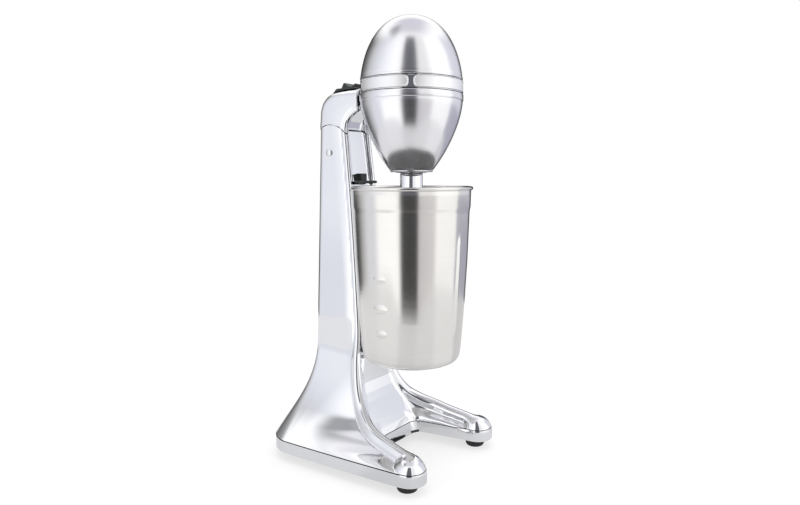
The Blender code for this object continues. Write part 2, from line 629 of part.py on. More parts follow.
def make_brackets():
    """The bridge that carries the top bush and the brushes, and the two bearing bushes."""
    low = CORE_HIGH + 4.7
    bridge = turned("upper_bracket", tube_profile(3.0, 8.5, low + 13.1, low + 22.0), "core_steel", HEAD, steps=20)
    join(bridge, box_mesh((13.0, 67.0, 2.0)), (0, 0, low + 14.5))
    for side in (-1, 1):
        join(bridge, box_mesh((9.0, 2.0, 14.0)), (0, side * 32.3, low + 7.8))
        join(bridge, box_mesh((9.0, 8.4, 2.0)), (0, side * 29.3, low + 1.0))
        cut(bridge, rod_mesh(SCREW_R + GAP, 9.0, 12), (0, side * 28.0, low + 1.0))
    cut(bridge, rod_mesh(5.5, 40.0, 20), (0, 0, low + 14.0))
    turned("upper_bush", tube_profile(SHAFT_R + GAP, 5.2, low + 13.5, low + 22.0), "bronze", HEAD, steps=20)
    turned("lower_bush", tube_profile(SHAFT_R + GAP, 5.0, 248.0, 258.0), "bronze", HEAD, steps=20)
    for name, side in (("left", -1), ("right", 1)):
        holder = add_piece("brush_holder_" + name, box_mesh((15.0, 8.0, 7.0)), "nylon", HEAD,
                           (side * 20.5, 0, COMMUTATOR_MID))
        cut(holder, box_mesh((20.0, 4.6, 4.2)), (side * 20.5, 0, COMMUTATOR_MID))
        add_piece("carbon_brush_" + name, box_mesh((12.0, 4.0, 3.6)), "carbon", HEAD,
                  (side * 14.9, 0, COMMUTATOR_MID))


# ---------------------------------------------------------------- rotor

def make_rotor():
    shaft_low = 224.0
    shaft_high = CORE_HIGH + 28.0
    turned("motor_shaft", [(0.0, shaft_high), (SHAFT_R, shaft_high), (SHAFT_R, shaft_low), (0.0, shaft_low)],
           "screw_steel", ROTOR, closed=False, steps=20)
    bore = SHAFT_R + GAP
    turned("armature_core", tube_profile(bore, CORE_R, CORE_LOW, CORE_HIGH), "core_steel", ROTOR, steps=24)
    turned("end_winding_lower", [(12.5, CORE_LOW - GAP), (12.5, CORE_LOW - 4), (10, CORE_LOW - 6.5),
                                 (bore, CORE_LOW - 6.5), (bore, CORE_LOW - GAP)], "copper_winding", ROTOR, steps=20)
    turned("end_winding_upper", [(10, CORE_HIGH + 6), (12.5, CORE_HIGH + 4), (12.5, CORE_HIGH + GAP),
                                 (bore, CORE_HIGH + GAP), (bore, CORE_HIGH + 6)], "copper_winding", ROTOR, steps=20)
    turned("commutator", tube_profile(bore, 8.5, COMMUTATOR_MID - 5, COMMUTATOR_MID + 5), "bronze", ROTOR, steps=24)
    fan = turned("cooling_fan", [(6.5, 276.0), (6.5, 268.5), (22.0, 268.5), (22.0, 267.0), (bore, 267.0),
                                 (bore, 276.0)], "nylon", ROTOR, steps=20)
    blades = 6
    for i in range(blades):
        angle = math.radians(i * 360 / blades)
        spot = (13.5 * math.cos(angle), 13.5 * math.sin(angle), 270.8)
        join(fan, box_mesh((15.5, 1.2, 5.2)), spot, (0, 0, angle))
    turned("spindle_collar", [(0, 222), (bore, 222), (bore, 246.6), (8.4, 246.6), (COLLAR_R, 245.6),
                              (COLLAR_R, COLLAR_LOW + 1), (COLLAR_R - 1, COLLAR_LOW), (ROD_R + GAP, COLLAR_LOW),
                              (ROD_R + GAP, COLLAR_LOW + 14), (0, COLLAR_LOW + 14)],
           "chrome", ROTOR, closed=False, steps=20)
    turned("spindle_rod", [(0, COLLAR_LOW + 13.5), (ROD_R, COLLAR_LOW + 13.5), (ROD_R, AGITATOR_Z + 1.4),
                           (ROD_R - 1, AGITATOR_Z + 1.4), (ROD_R - 1, AGITATOR_Z - 4.5), (0, AGITATOR_Z - 4.5)],
           "chrome", ROTOR, closed=False, steps=20)
    make_agitator()


def make_agitator():
    """A thin disc that waves up and down round its edge, held on the spindle's end by a nut."""
    waves = 5
    steps = 30
    half = 0.7
    across = [(ROD_R - 1 + GAP, -half), (ROD_R - 1 + GAP, half), (6.0, half), (AGITATOR_R, half),
              (AGITATOR_R, -half), (6.0, -half)]
    rings = []
    for i in range(steps):
        angle = -2 * math.pi * i / steps
        rings.append([(r * math.cos(angle), r * math.sin(angle),
                       AGITATOR_Z + z + 2.2 * max(0.0, (r - 6) / (AGITATOR_R - 6)) * math.sin(waves * angle))
                      for r, z in across])
    bm = bmesh.new()
    bm.from_mesh(loft_mesh(rings + rings[:1], capped=False))
    bmesh.ops.remove_doubles(bm, verts=bm.verts, dist=0.000001)
    bmesh.ops.recalc_face_normals(bm, faces=bm.faces)
    add_piece("agitator", mesh_from(bm, "agitator"), "chrome", ROTOR)
    turned("agitator_nut", tube_profile(ROD_R - 1 + GAP, 4.2, AGITATOR_Z - 4.2, AGITATOR_Z - 1.0), "screw_steel",
           ROTOR, steps=6)


# ---------------------------------------------------------------- cup

def cup_wall(offset):
    """The cup's side from under its rim to its bottom, moved inwards by offset."""
    side = [(49.2, 229.4), (48.9, 215.0), (48.2, 212.4), (46.8, 172.6), (44.2, 126.0), (42.1, 99.0),
            (41.0, 91.5), (39.6, 88.8)]
    return [(r - offset, z) for r, z in side]


def make_cup():
    bead = []
    for i in range(7):
        angle = math.radians(200 - i * 45)
        bead.append((CUP_RIM_R - RIM_BEAD_R + RIM_BEAD_R * math.cos(angle), RIM_Z + RIM_BEAD_R * math.sin(angle)))
    inside = [(0, CUP_BOTTOM + CUP_WALL), (36.4, CUP_BOTTOM + CUP_WALL), (38.8, 89.9)]
    inside += cup_wall(CUP_WALL)[::-1][1:]
    outside = cup_wall(0.0) + [(37.0, CUP_BOTTOM), (0, CUP_BOTTOM)]
    turned("mixing_cup", inside + bead + outside, "brushed_steel", CUP, closed=False, steps=32)


# ---------------------------------------------------------------- assembly

clear_scene()
PIECES = make_collection("milkshake_mixer")
CUTTERS = make_collection("milkshake_mixer_cutters")
ROOT = make_empty("mixer", (0, 0, 0))
STAND = make_empty("stand", (0, 0, 0), ROOT)
HEAD = make_empty("head_tilt_axis", (0, PIVOT_Y, PIVOT_Z), STAND)
ROTOR = make_empty("spindle_axis", (0, 0, AGITATOR_Z), HEAD)
ROCKER = make_empty("rocker_axis", (0, ROCKER_Y, ROCKER_Z), HEAD)
CUP = make_empty("cup_swing_axis", (0, CUP_RIM_R - RIM_BEAD_R, RIM_Z), STAND)

make_stand_casing()
make_base_plate()
make_feet_and_screws()
make_cup_guide()
make_cup_rest()
make_hinge_pin()
make_cord_parts()
make_arm()
make_switch()
make_neck()
make_housing()
make_stator()
make_brackets()
make_rotor()
make_cup()

ROOT.location.y = (CUP_RIM_R - BASE_REAR) / 2 * MM
bpy.context.view_layer.update()
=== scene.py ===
import json
import math

import bmesh
import bpy
import numpy as np
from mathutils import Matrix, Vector


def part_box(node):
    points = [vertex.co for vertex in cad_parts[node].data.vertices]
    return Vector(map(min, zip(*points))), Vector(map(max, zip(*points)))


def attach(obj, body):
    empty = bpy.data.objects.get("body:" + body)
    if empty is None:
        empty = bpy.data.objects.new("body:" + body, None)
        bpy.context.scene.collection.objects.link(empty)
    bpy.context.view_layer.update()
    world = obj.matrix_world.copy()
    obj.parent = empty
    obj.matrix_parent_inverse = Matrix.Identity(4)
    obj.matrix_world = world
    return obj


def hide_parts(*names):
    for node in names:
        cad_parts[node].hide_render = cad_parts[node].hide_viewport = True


# Looks of the milkshake mixer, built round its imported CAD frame. Lengths are in millimetres from the
# cup's axis and the floor, with the front towards -Y, and `place` turns them into the frame's metres.

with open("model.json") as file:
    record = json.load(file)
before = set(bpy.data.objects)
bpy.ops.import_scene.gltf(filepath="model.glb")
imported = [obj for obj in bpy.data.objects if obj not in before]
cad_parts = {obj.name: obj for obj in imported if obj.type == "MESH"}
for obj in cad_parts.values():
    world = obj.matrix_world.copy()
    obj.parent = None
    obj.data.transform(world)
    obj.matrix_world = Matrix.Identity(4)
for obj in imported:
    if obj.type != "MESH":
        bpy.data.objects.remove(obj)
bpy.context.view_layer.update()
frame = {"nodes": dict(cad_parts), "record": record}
nodes = frame["nodes"]

MM = 0.001
shaft_low, shaft_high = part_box("spindle_rod")
AXIS_Y = (shaft_low[1] + shaft_high[1]) / 2

SKIRT_BOTTOM, SKIRT_TOP = 8.0, 18.0
COLUMN_LOW, COLUMN_TOP = 88.0, 276.0
FLARE_TOP = 94.0
EDGE_BEAD_R, EDGE_BEAD_INSET = 2.9, 3.4
CASTING_WALL = 2.2
TOE_X, TOE_Y, TOE_R = 50.9, -36.0, 13.4
PIVOT_Y, PIVOT_Z = 75.5, 261.0
SEAM_R, SEAM_GAP = 23.5, 0.7
EQUATOR_Z, EGG_R, TOP_Z = 304.0, 42.0, 368.0
BAND_LOW, BAND_HIGH = 306.5, 316.9
NOSE_Z = 244.2
COLLAR_R, COLLAR_LOW, COLLAR_HIGH = 9.3, 205.0, 246.6
ROD_R, AGITATOR_Z, AGITATOR_R = 3.0, 101.0, 13.5
RIM_R, RIM_Z, RIM_BEAD_R = 50.9, 231.2, 1.5
CUP_BOTTOM, CUP_WALL = 87.3, 1.0
FEET = {"front_left": (-51.0, -33.8), "front_right": (51.0, -33.8),
        "rear_left": (-56.0, 84.0), "rear_right": (56.0, 84.0)}


def place(points):
    """Millimetres from the cup's axis, as the frame's metres."""
    return np.asarray(points, float) * MM + (0.0, AXIS_Y, 0.0)


# ---------------------------------------------------------------- materials

class Nodes:
    """Short calls for building one material's or the world's node tree."""

    def __init__(self, tree):
        self.tree = tree

    def node(self, kind, inputs=(), **settings):
        made = self.tree.nodes.new(kind)
        for key, value in settings.items():
            setattr(made, key, value)
        for key, value in dict(inputs).items():
            self.feed(made.inputs[key], value)
        return made

    def feed(self, socket, value):
        if isinstance(value, bpy.types.NodeSocket):
            self.tree.links.new(value, socket)
        else:
            socket.default_value = value

    def math(self, operation, *values):
        return self.node("ShaderNodeMath", dict(enumerate(values)), operation=operation).outputs[0]

    def times(self, *values):
        return self.math("MULTIPLY", *values)

    def spread(self, value, low, high, to_low=0.0, to_high=1.0, kind="LINEAR"):
        limits = {"From Min": low, "From Max": high, "To Min": to_low, "To Max": to_high}
        made = self.node("ShaderNodeMapRange", {"Value": value, **limits}, interpolation_type=kind)
        return made.outputs[0]

    def fade(self, value, start, stop):
        """Runs smoothly from 0 at start to 1 at stop, which may be the lower of the two."""
        return self.spread(value, start, stop, kind="SMOOTHSTEP")

    def ramp(self, value, stops):
        made = self.node("ShaderNodeValToRGB", {"Fac": value})
        elements = made.color_ramp.elements
        while len(elements) < len(stops):
            elements.new(0.5)
        for element, (position, level) in zip(elements, stops):
            element.position = position
            element.color = (*level, 1.0) if isinstance(level, tuple) else (level, level, level, 1.0)
        return made.outputs["Color"]

    def noise(self, vector, scale, detail=2.0, roughness=0.5):
        inputs = {"Vector": vector, "Scale": scale, "Detail": detail, "Roughness": roughness}
        return self.node("ShaderNodeTexNoise", inputs).outputs["Fac"]

    def stretched(self, vector, scale):
        return self.node("ShaderNodeMapping", {"Vector": vector, "Scale": scale}).outputs[0]

    def bump(self, height, distance):
        made = self.node("ShaderNodeBump", {"Height": height, "Distance": distance, "Strength": 1.0})
        return made.outputs[0]

    def mix(self, factor, first, second):
        made = self.node("ShaderNodeMix", {0: factor}, data_type="RGBA")
        self.feed(made.inputs[6], (*first, 1.0) if isinstance(first, tuple) else first)
        self.feed(made.inputs[7], (*second, 1.0) if isinstance(second, tuple) else second)
        return made.outputs[2]


MATERIALS = {}


def material(name, metallic=0.0, **constants):
    """A new material's node helper, its shader and its object coordinates, in metres."""
    made = bpy.data.materials.new(name)
    made.use_nodes = True
    MATERIALS[name] = made
    help_ = Nodes(made.node_tree)
    shader = made.node_tree.nodes["Principled BSDF"]
    shader.inputs["Metallic"].default_value = metallic
    for key, value in constants.items():
        shader.inputs[key.replace("_", " ")].default_value = value
    coordinates = help_.node("ShaderNodeTexCoord").outputs["Object"]
    return help_, shader, coordinates


def finish_shader(n, shader, colour, roughness, normal):
    n.feed(shader.inputs["Base Color"], colour)
    n.feed(shader.inputs["Roughness"], roughness)
    n.feed(shader.inputs["Normal"], normal)


def chrome_material(name, light, dark, rough_low, rough_high, ripple):
    """Plated metal: slow changes of tone, faint wiping marks in its gloss, and the casting's slow ripple."""
    n, shader, at = material(name, 1.0)
    slow = n.noise(at, 14.0, 2.0)
    smears = n.noise(n.stretched(at, (1.0, 1.0, 0.35)), 160.0, 5.0, 0.62)
    finish_shader(n, shader, n.mix(slow, light, dark), n.spread(smears, 0.3, 0.75, rough_low, rough_high),
                  n.bump(n.noise(at, 46.0, 1.0), ripple))


def spun_material(name, light, dark, rough_low, rough_high, line_scale, depth):
    """Metal with fine lines round the vertical axis, as left by a brush while it turned."""
    n, shader, at = material(name, 1.0)
    lines = n.noise(n.stretched(at, (6.0, 6.0, line_scale)), 1.0, 3.0, 0.65)
    cloud = n.noise(at, 38.0, 3.0)
    level = n.math("ADD", n.times(lines, 0.75), n.times(cloud, 0.25))
    finish_shader(n, shader, n.mix(n.times(lines, cloud), light, dark),
                  n.spread(level, 0.3, 0.7, rough_low, rough_high), n.bump(lines, depth))


def moulded_material(name, light, dark, rough_low, rough_high, grain, depth):
    """Moulded plastic or rubber with a fine grain and a little wear in its gloss."""
    n, shader, at = material(name)
    fine = n.noise(at, grain, 2.0)
    cloud = n.noise(at, grain * 0.06, 4.0, 0.6)
    finish_shader(n, shader, n.mix(cloud, dark, light), n.spread(cloud, 0.3, 0.7, rough_low, rough_high),
                  n.bump(fine, depth))


def turned_metal_material(name, light, dark, roughness, grain):
    """Plain bare metal with fine tool marks and a mottled tone."""
    n, shader, at = material(name, 1.0)
    marks = n.noise(n.stretched(at, (1.0, 1.0, 7.0)), grain, 4.0, 0.6)
    finish_shader(n, shader, n.mix(marks, dark, light),
                  n.spread(marks, 0.3, 0.7, roughness - 0.08, roughness + 0.1), n.bump(marks, 0.00002))


def winding_material(name, light, dark):
    """Varnished copper wire, wound in rows."""
    n, shader, at = material(name, 0.9)
    height = n.node("ShaderNodeSeparateXYZ", {"Vector": at}).outputs["Z"]
    rows = n.math("ABSOLUTE", n.math("SINE", n.times(height, 4200.0)))
    finish_shader(n, shader, n.mix(rows, dark, light), n.spread(n.noise(at, 220.0), 0.3, 0.7, 0.3, 0.45),
                  n.bump(rows, 0.00025))


def laminated_material(name, light, dark):
    """A stack of thin steel sheets, seen on edge."""
    n, shader, at = material(name, 1.0)
    height = n.node("ShaderNodeSeparateXYZ", {"Vector": at}).outputs["Z"]
    sheets = n.math("FRACT", n.times(height, 1600.0))
    tone = n.times(sheets, n.noise(at, 300.0))
    finish_shader(n, shader, n.mix(tone, dark, light), n.spread(tone, 0.0, 0.7, 0.45, 0.65),
                  n.bump(sheets, 0.00008))


def make_materials():
    chrome_material("chrome", (0.86, 0.865, 0.88), (0.80, 0.805, 0.83), 0.035, 0.075, 2e-5)
    spun_material("satin_chrome", (0.84, 0.84, 0.86), (0.72, 0.72, 0.745), 0.17, 0.24, 5200.0, 2e-6)
    spun_material("brushed_steel", (0.80, 0.785, 0.76), (0.68, 0.665, 0.64), 0.12, 0.19, 4200.0, 3e-6)
    # The cup's inside: a satin steel painted paler than the outside, as painted light against the shade
    # within the cup.
    spun_material("steel_inside_painted_light", (0.95, 0.94, 0.93), (0.91, 0.90, 0.89), 0.50, 0.60, 1500.0, 2e-6)
    spun_material("plate_silver", (0.93, 0.93, 0.94), (0.86, 0.86, 0.87), 0.42, 0.50, 3000.0, 2e-6)
    moulded_material("black_plastic", (0.022, 0.028, 0.026), (0.010, 0.014, 0.013), 0.30, 0.42, 1800.0, 2e-5)
    moulded_material("black_rubber", (0.030, 0.032, 0.033), (0.014, 0.015, 0.016), 0.60, 0.80, 1400.0, 5e-5)
    moulded_material("nylon", (0.78, 0.77, 0.73), (0.66, 0.65, 0.61), 0.42, 0.55, 1500.0, 2e-5)
    moulded_material("carbon", (0.045, 0.045, 0.047), (0.018, 0.018, 0.019), 0.50, 0.70, 2200.0, 4e-5)
    turned_metal_material("screw_steel", (0.62, 0.62, 0.63), (0.42, 0.42, 0.44), 0.32, 700.0)
    turned_metal_material("bronze", (0.64, 0.46, 0.25), (0.40, 0.27, 0.13), 0.42, 900.0)
    laminated_material("core_steel", (0.36, 0.36, 0.38), (0.16, 0.16, 0.17))
    winding_material("copper_winding", (0.70, 0.30, 0.13), (0.28, 0.10, 0.04))


# ---------------------------------------------------------------- meshes

def show(name, data):
    """A new object in the scene, of the given mesh, lamp or camera."""
    made = bpy.data.objects.new(name, data)
    bpy.context.scene.collection.objects.link(made)
    return made


def add_piece(name, slot, body, points, faces, finish=None):
    """A piece of the visual model from points in millimetres, in its slot's finish or a variant of it.

    With a CAD node's name it is that node's skin, and stands for it.
    """
    stands_for = (name,) if name in nodes else ()
    mesh = bpy.data.meshes.new(name)
    mesh.from_pydata(place(points).tolist(), [], faces)
    mesh.shade_smooth()
    mesh.materials.append(MATERIALS[finish or slot])
    piece = show(name + "_skin" if stands_for else name, mesh)
    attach(piece, body)
    if stands_for:
        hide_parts(*stands_for)
    return piece


def settle(piece):
    """Applies the piece's modifiers to its mesh."""
    bpy.context.view_layer.update()
    evaluated = piece.evaluated_get(bpy.context.evaluated_depsgraph_get())
    mesh = bpy.data.meshes.new_from_object(evaluated)
    piece.modifiers.clear()
    piece.data = mesh


def rounded(corners, steps=4):
    """A polyline through (a, b, radius) corners, each rounded to its radius."""
    points = []
    for i, (a, b, radius) in enumerate(corners):
        here = Vector((a, b))
        if not radius or i in (0, len(corners) - 1):
            points.append((a, b))
            continue
        before = Vector(corners[i - 1][:2]) - here
        after = Vector(corners[i + 1][:2]) - here
        half = before.angle(after) / 2
        reach = min(radius / math.tan(half), before.length * 0.49, after.length * 0.49)
        start = here + before.normalized() * reach
        stop = here + after.normalized() * reach
        for step in range(steps + 1):
            t = step / steps
            point = start * (1 - t) ** 2 + here * (2 * t * (1 - t)) + stop * t * t
            points.append(tuple(point))
    return points


def curve_through(knots, steps):
    """A smooth curve through the knots, which are rows of any length."""
    knots = np.asarray(knots, float)
    ends = np.vstack([2 * knots[0] - knots[1], knots, 2 * knots[-1] - knots[-2]])
    out = []
    for i in range(1, len(ends) - 2):
        a, b, c, d = ends[i - 1:i + 3]
        for t in np.arange(steps) / steps:
            out.append(0.5 * (2 * b + (c - a) * t + (2 * a - 5 * b + 4 * c - d) * t * t
                              + (3 * b - a - 3 * c + d) * t ** 3))
    return np.array(out + [knots[-1]])


def bezier(a, b, c, d, steps):
    """A curve from a to d as (x, y) pairs, drawn towards b and then c."""
    t = np.linspace(0.0, 1.0, steps + 1)[:, None]
    a, b, c, d = np.array((a, b, c, d), float)
    curve = (1 - t) ** 3 * a + 3 * t * (1 - t) ** 2 * b + 3 * t * t * (1 - t) * c + t ** 3 * d
    return [tuple(point) for point in curve]


def polar(radius, angle):
    return radius * math.cos(angle), radius * math.sin(angle)


def turn_from(middle, angle):
    """The angle past the middle, between minus and plus half a turn."""
    return (angle - middle + math.pi) % (2 * math.pi) - math.pi


def skin(rings, closed_round=True, closed_along=False, caps=False):
    """Points and faces of a skin over rings with equal numbers of points."""
    rings = np.asarray(rings, float)
    count, width = rings.shape[:2]
    faces = []
    for i in range(count if closed_along else count - 1):
        j = (i + 1) % count
        for k in range(width if closed_round else width - 1):
            m = (k + 1) % width
            faces.append((i * width + k, i * width + m, j * width + m, j * width + k))
    if caps:
        faces.append(tuple(range(width))[::-1])
        faces.append(tuple(range((count - 1) * width, count * width)))
    return rings.reshape(-1, 3), faces


def turned(name, slot, body, profile, centre=(0.0, 0.0, 0.0), axis=2, closed=False, steps=96, sharp=None,
           swell=None):
    """A piece turned about a line along an axis, from (radius, height) pairs. A zero radius is on the line.

    swell gives how far the skin moves out, at angles and a height.
    """
    angles = np.arange(steps) * 2 * np.pi / steps
    points, faces, rows = [], [], []
    for radius, height in profile:
        turns = angles if radius > 1e-6 else angles[:1]
        reach = radius + (swell(turns, height) if swell is not None and radius > 1e-6 else 0.0)
        ring = np.stack([reach * np.cos(turns), reach * np.sin(turns), np.full(len(turns), height)], 1)
        rows.append(list(range(len(points), len(points) + len(turns))))
        points += np.roll(ring, axis - 2, axis=1).tolist()
    pairs = list(zip(rows[:-1], rows[1:])) + ([(rows[-1], rows[0])] if closed else [])
    for upper, lower in pairs:
        for k in range(steps):
            m = (k + 1) % steps
            ring = [upper[k % len(upper)], lower[k % len(lower)], lower[m % len(lower)],
                    upper[m % len(upper)]]
            face = list(dict.fromkeys(ring))
            if len(face) > 2:
                faces.append(face)
    piece = add_piece(name, slot, body, np.array(points) + centre, faces)
    tidy_normals(piece, sharp)
    return piece


def face_outwards(mesh):
    bm = bmesh.new()
    bm.from_mesh(mesh)
    bmesh.ops.recalc_face_normals(bm, faces=bm.faces)
    bm.to_mesh(mesh)
    bm.free()


def tidy_normals(piece, sharp=None):
    """Turns the faces out and shades them smooth, apart from edges sharper than an angle in degrees."""
    face_outwards(piece.data)
    piece.data.shade_smooth()
    if sharp is not None:
        piece.data.set_sharp_from_angle(angle=math.radians(sharp))


def side_solid(outline, half_width, centre_x=0.0):
    """Points and faces of a side outline of (y, z), made a solid to half_width on each side of centre_x."""
    count = len(outline)
    points = [(x, y, z) for x in (centre_x - half_width, centre_x + half_width) for y, z in outline]
    faces = [tuple(range(count)), tuple(range(count, 2 * count))[::-1]]
    faces += [(i, (i + 1) % count, count + (i + 1) % count, count + i) for i in range(count)]
    return points, faces


def plate(name, slot, body, outline, half_width, edge, sharp=40.0, centre_x=0.0):
    """A solid from a side outline, with rounded edges."""
    piece = add_piece(name, slot, body, *side_solid(outline, half_width, centre_x))
    tidy_normals(piece, sharp)
    bevel = piece.modifiers.new("edge", "BEVEL")
    bevel.width = edge * MM
    bevel.segments = 3
    bevel.limit_method = "ANGLE"
    bevel.angle_limit = math.radians(sharp)
    bevel.harden_normals = True
    settle(piece)
    return piece


def thicken(piece, wall):
    """Gives an open skin a wall, inwards."""
    shell = piece.modifiers.new("wall", "SOLIDIFY")
    shell.thickness = wall * MM
    shell.offset = -1.0
    settle(piece)


# ---------------------------------------------------------------- stand casing

def ease_min(a, b, reach):
    """The smaller of two fields, with the corner between them rounded."""
    h = np.clip(0.5 + 0.5 * (b - a) / reach, 0.0, 1.0)
    return b + (a - b) * h - reach * h * (1 - h)


def ease_max(a, b, reach):
    return -ease_min(-a, -b, reach)


def soft_step(value, low, high):
    """Rises smoothly from 0 at low to 1 at high."""
    t = np.clip((value - low) / (high - low), 0.0, 1.0)
    return t * t * (3 - 2 * t)


def column_at(z):
    """Front of the column's beads, its rear, and half its width, at a height."""
    t = np.maximum((z - COLUMN_LOW) / (COLUMN_TOP - COLUMN_LOW), 0.0)
    return 41.2 + 15.8 * (0.55 * t + 0.45 * t * t), 95.8 - 5.5 * t, 21.2 - 3.6 * t


def flare_at(z):
    """How far the base has spread at a height, from 0 at the column to 1 at the skirt."""
    t = np.clip((FLARE_TOP - z) / (FLARE_TOP - SKIRT_TOP), 0.0, 1.0)
    return 0.08 * t * np.minimum(t * 6.0, 1.0) + 0.92 * t ** 2.5


def bead_path():
    """Centre line and radius of the bead that runs down the column's edge and along the leg."""
    knots = [(48.3, TOE_Y, 22.0, 5.5), (47.2, -22.0, 24.3, 5.6), (45.2, -8.0, 26.8, 5.7),
             (43.0, 6.0, 30.2, 5.7), (37.6, 19.0, 35.0, 5.6), (31.0, 30.0, 43.0, 5.2),
             (25.8, 38.5, 57.0, 4.4), (20.8, 43.9, 79.4, 3.6)]
    for z in (106.0, 145.0, 182.0, 215.0, 248.0, 292.0):
        front, _, half_width = column_at(z)
        knots.append((half_width - EDGE_BEAD_INSET, front + EDGE_BEAD_R, z, EDGE_BEAD_R))
    return curve_through(knots, 40)


BEAD = bead_path()
BEAD_WAY = np.gradient(BEAD[:, :3], axis=0)
BEAD_DOWN = np.vstack([(50.3, -60.0, SKIRT_TOP, 5.4), BEAD])


def along_bead(table, spot):
    return np.stack([np.interp(spot, np.arange(len(BEAD)), column) for column in table.T], -1)


def near_bead(points):
    """Gap to the bead's skin, height above its centre line seen from the side, and the nearest centre."""
    spot = np.interp(points[..., 1] + points[..., 2], BEAD[:, 1] + BEAD[:, 2], np.arange(len(BEAD)))
    for _ in range(4):
        way = along_bead(BEAD_WAY, spot)
        off = points - along_bead(BEAD, spot)[..., :3]
        spot = np.clip(spot + (off * way).sum(-1) / (way ** 2).sum(-1), 0.0, len(BEAD) - 1.0)
    centre = along_bead(BEAD, spot)
    way = along_bead(BEAD_WAY, spot)
    off = points - centre[..., :3]
    above = (way[..., 1] * off[..., 2] - way[..., 2] * off[..., 1]) / np.hypot(way[..., 1], way[..., 2])
    return np.linalg.norm(off, axis=-1) - centre[..., 3], above, centre


# Height and y of the wall between the legs, from the floor up to the cup's rest.
ARCH = np.array([(0.0, 13.0), (8.0, 14.4), (18.0, 17.0), (24.0, 19.5), (31.0, 23.6), (39.5, 28.8),
                 (45.0, 32.2), (52.0, 36.0), (60.0, 38.6), (66.0, 39.5), (75.0, 40.4), (83.6, 40.9)])


def arch_front(z):
    return np.interp(z, ARCH[:, 0], ARCH[:, 1])


VALLEY = 2.8                    # how far below the bead's centre line the side meets it, behind the toes


def side_at(y, z, flare, half_width):
    """Half the width of the column or base. The side draws in to meet the bead along a soft hollow."""
    forward = np.maximum(79.0 - y, 0.0)
    full = half_width + flare * (54.7 - 0.075 * forward - 0.0002 * forward ** 2)
    bead_x, bead_y, bead_r = (np.interp(z + VALLEY, BEAD_DOWN[:, 2], BEAD_DOWN[:, column])
                              for column in (0, 1, 3))
    length = 12.0 + 68.0 * np.clip((84.0 - z) / 66.0, 0.0, 1.0) ** 2.2
    hollow = np.clip(1.0 - (y - bead_y) / length, 0.0, 1.0) ** 2 * soft_step(z, SKIRT_TOP, SKIRT_TOP + 4.0)
    return full - hollow * (full - bead_x - 0.87 * bead_r)


def leg_shelf(x, y, z, inner):
    """Height over the shelf that rises from the crease by the leg's inner wall to the leg's bead."""
    crease = np.interp(y, (-44.0, -36.0, -24.0, -8.0), (14.5, 16.5, 19.8, 21.5))
    bead_x, bead_z = (np.interp(y, BEAD[:, 1], BEAD[:, column]) for column in (0, 2))
    width = np.maximum(bead_x - 4.5 - x - inner, 1.0)
    return z - crease - np.clip(-inner / width, 0.0, 1.0) * np.maximum(bead_z - 3.0 - crease, 0.0)


def casing_field(points):
    """Signed distance, about, to the skin of the cast column and base. Negative is inside."""
    points = np.concatenate([np.abs(points[..., :1]), points[..., 1:]], -1)
    x, y, z = points[..., 0], points[..., 1], points[..., 2]
    front, rear, half_width = column_at(z)
    flare = flare_at(z)
    side = x - side_at(y, z, flare, half_width)
    back = y - rear - flare * (16.2 - 0.0022 * x * x)
    corner = 8.0 + 13.0 * flare
    a, b = side + corner, back + corner
    body = np.minimum(np.maximum(a, b), 0.0) + np.hypot(np.maximum(a, 0.0), np.maximum(b, 0.0)) - corner

    arch = arch_front(z)
    panel = arch + soft_step(z, 82.4, 84.4) * (front + 3.2 - arch) - y
    inner = 29.0 + (6.5 - y) * 0.2 - x
    shelf = leg_shelf(x, y, z, inner)
    body = ease_max(body, ease_min(panel, ease_max(inner, shelf, 3.2), 9.0), 1.6)
    body = ease_max(body, TOE_Y - y, 1.0)

    bead, above, centre = near_bead(points)
    off = x - centre[..., 0]
    drop = np.interp(y, (-30.0, 5.0), (-0.6, VALLEY))
    crown = above + drop - 1.2 * np.maximum(-off, 0.0)
    body = ease_max(body, crown, 1.2)
    dome = 1.03 * np.maximum(z - 14.0, 0.0)
    toe = np.sqrt((x - TOE_X) ** 2 + (y - TOE_Y) ** 2 + dome ** 2) - TOE_R
    body = ease_min(body, toe, 1.2)
    return ease_min(body, bead, 2.0 + 2.0 * np.clip(-off / 4.0, 0.0, 1.0) * np.minimum(flare * 4.0, 1.0))


def cheek_height(y):
    """Height of the round seam between the column's cheeks and the arm."""
    return PIVOT_Z + np.sqrt(np.maximum(SEAM_R ** 2 - (y - PIVOT_Y) ** 2, 0.0))


CASING_STEP = 1.6
CASING_STEP_Z = (SKIRT_TOP - SKIRT_BOTTOM) / 6
CASING_TOP = SKIRT_BOTTOM + 161 * CASING_STEP_Z
CREASE_HALF = 0.3               # half the height of the narrow strip along the skirt's upper edge


def raise_to_seam(points):
    """Bends the grid's flat top into the round seam under the arm."""
    lifted = points.copy()
    share = np.clip((points[..., 2] - 240.0) / (CASING_TOP - 240.0), 0.0, 1.0) ** 2
    lifted[..., 2] += share * (cheek_height(points[..., 1]) - CASING_TOP)
    return lifted


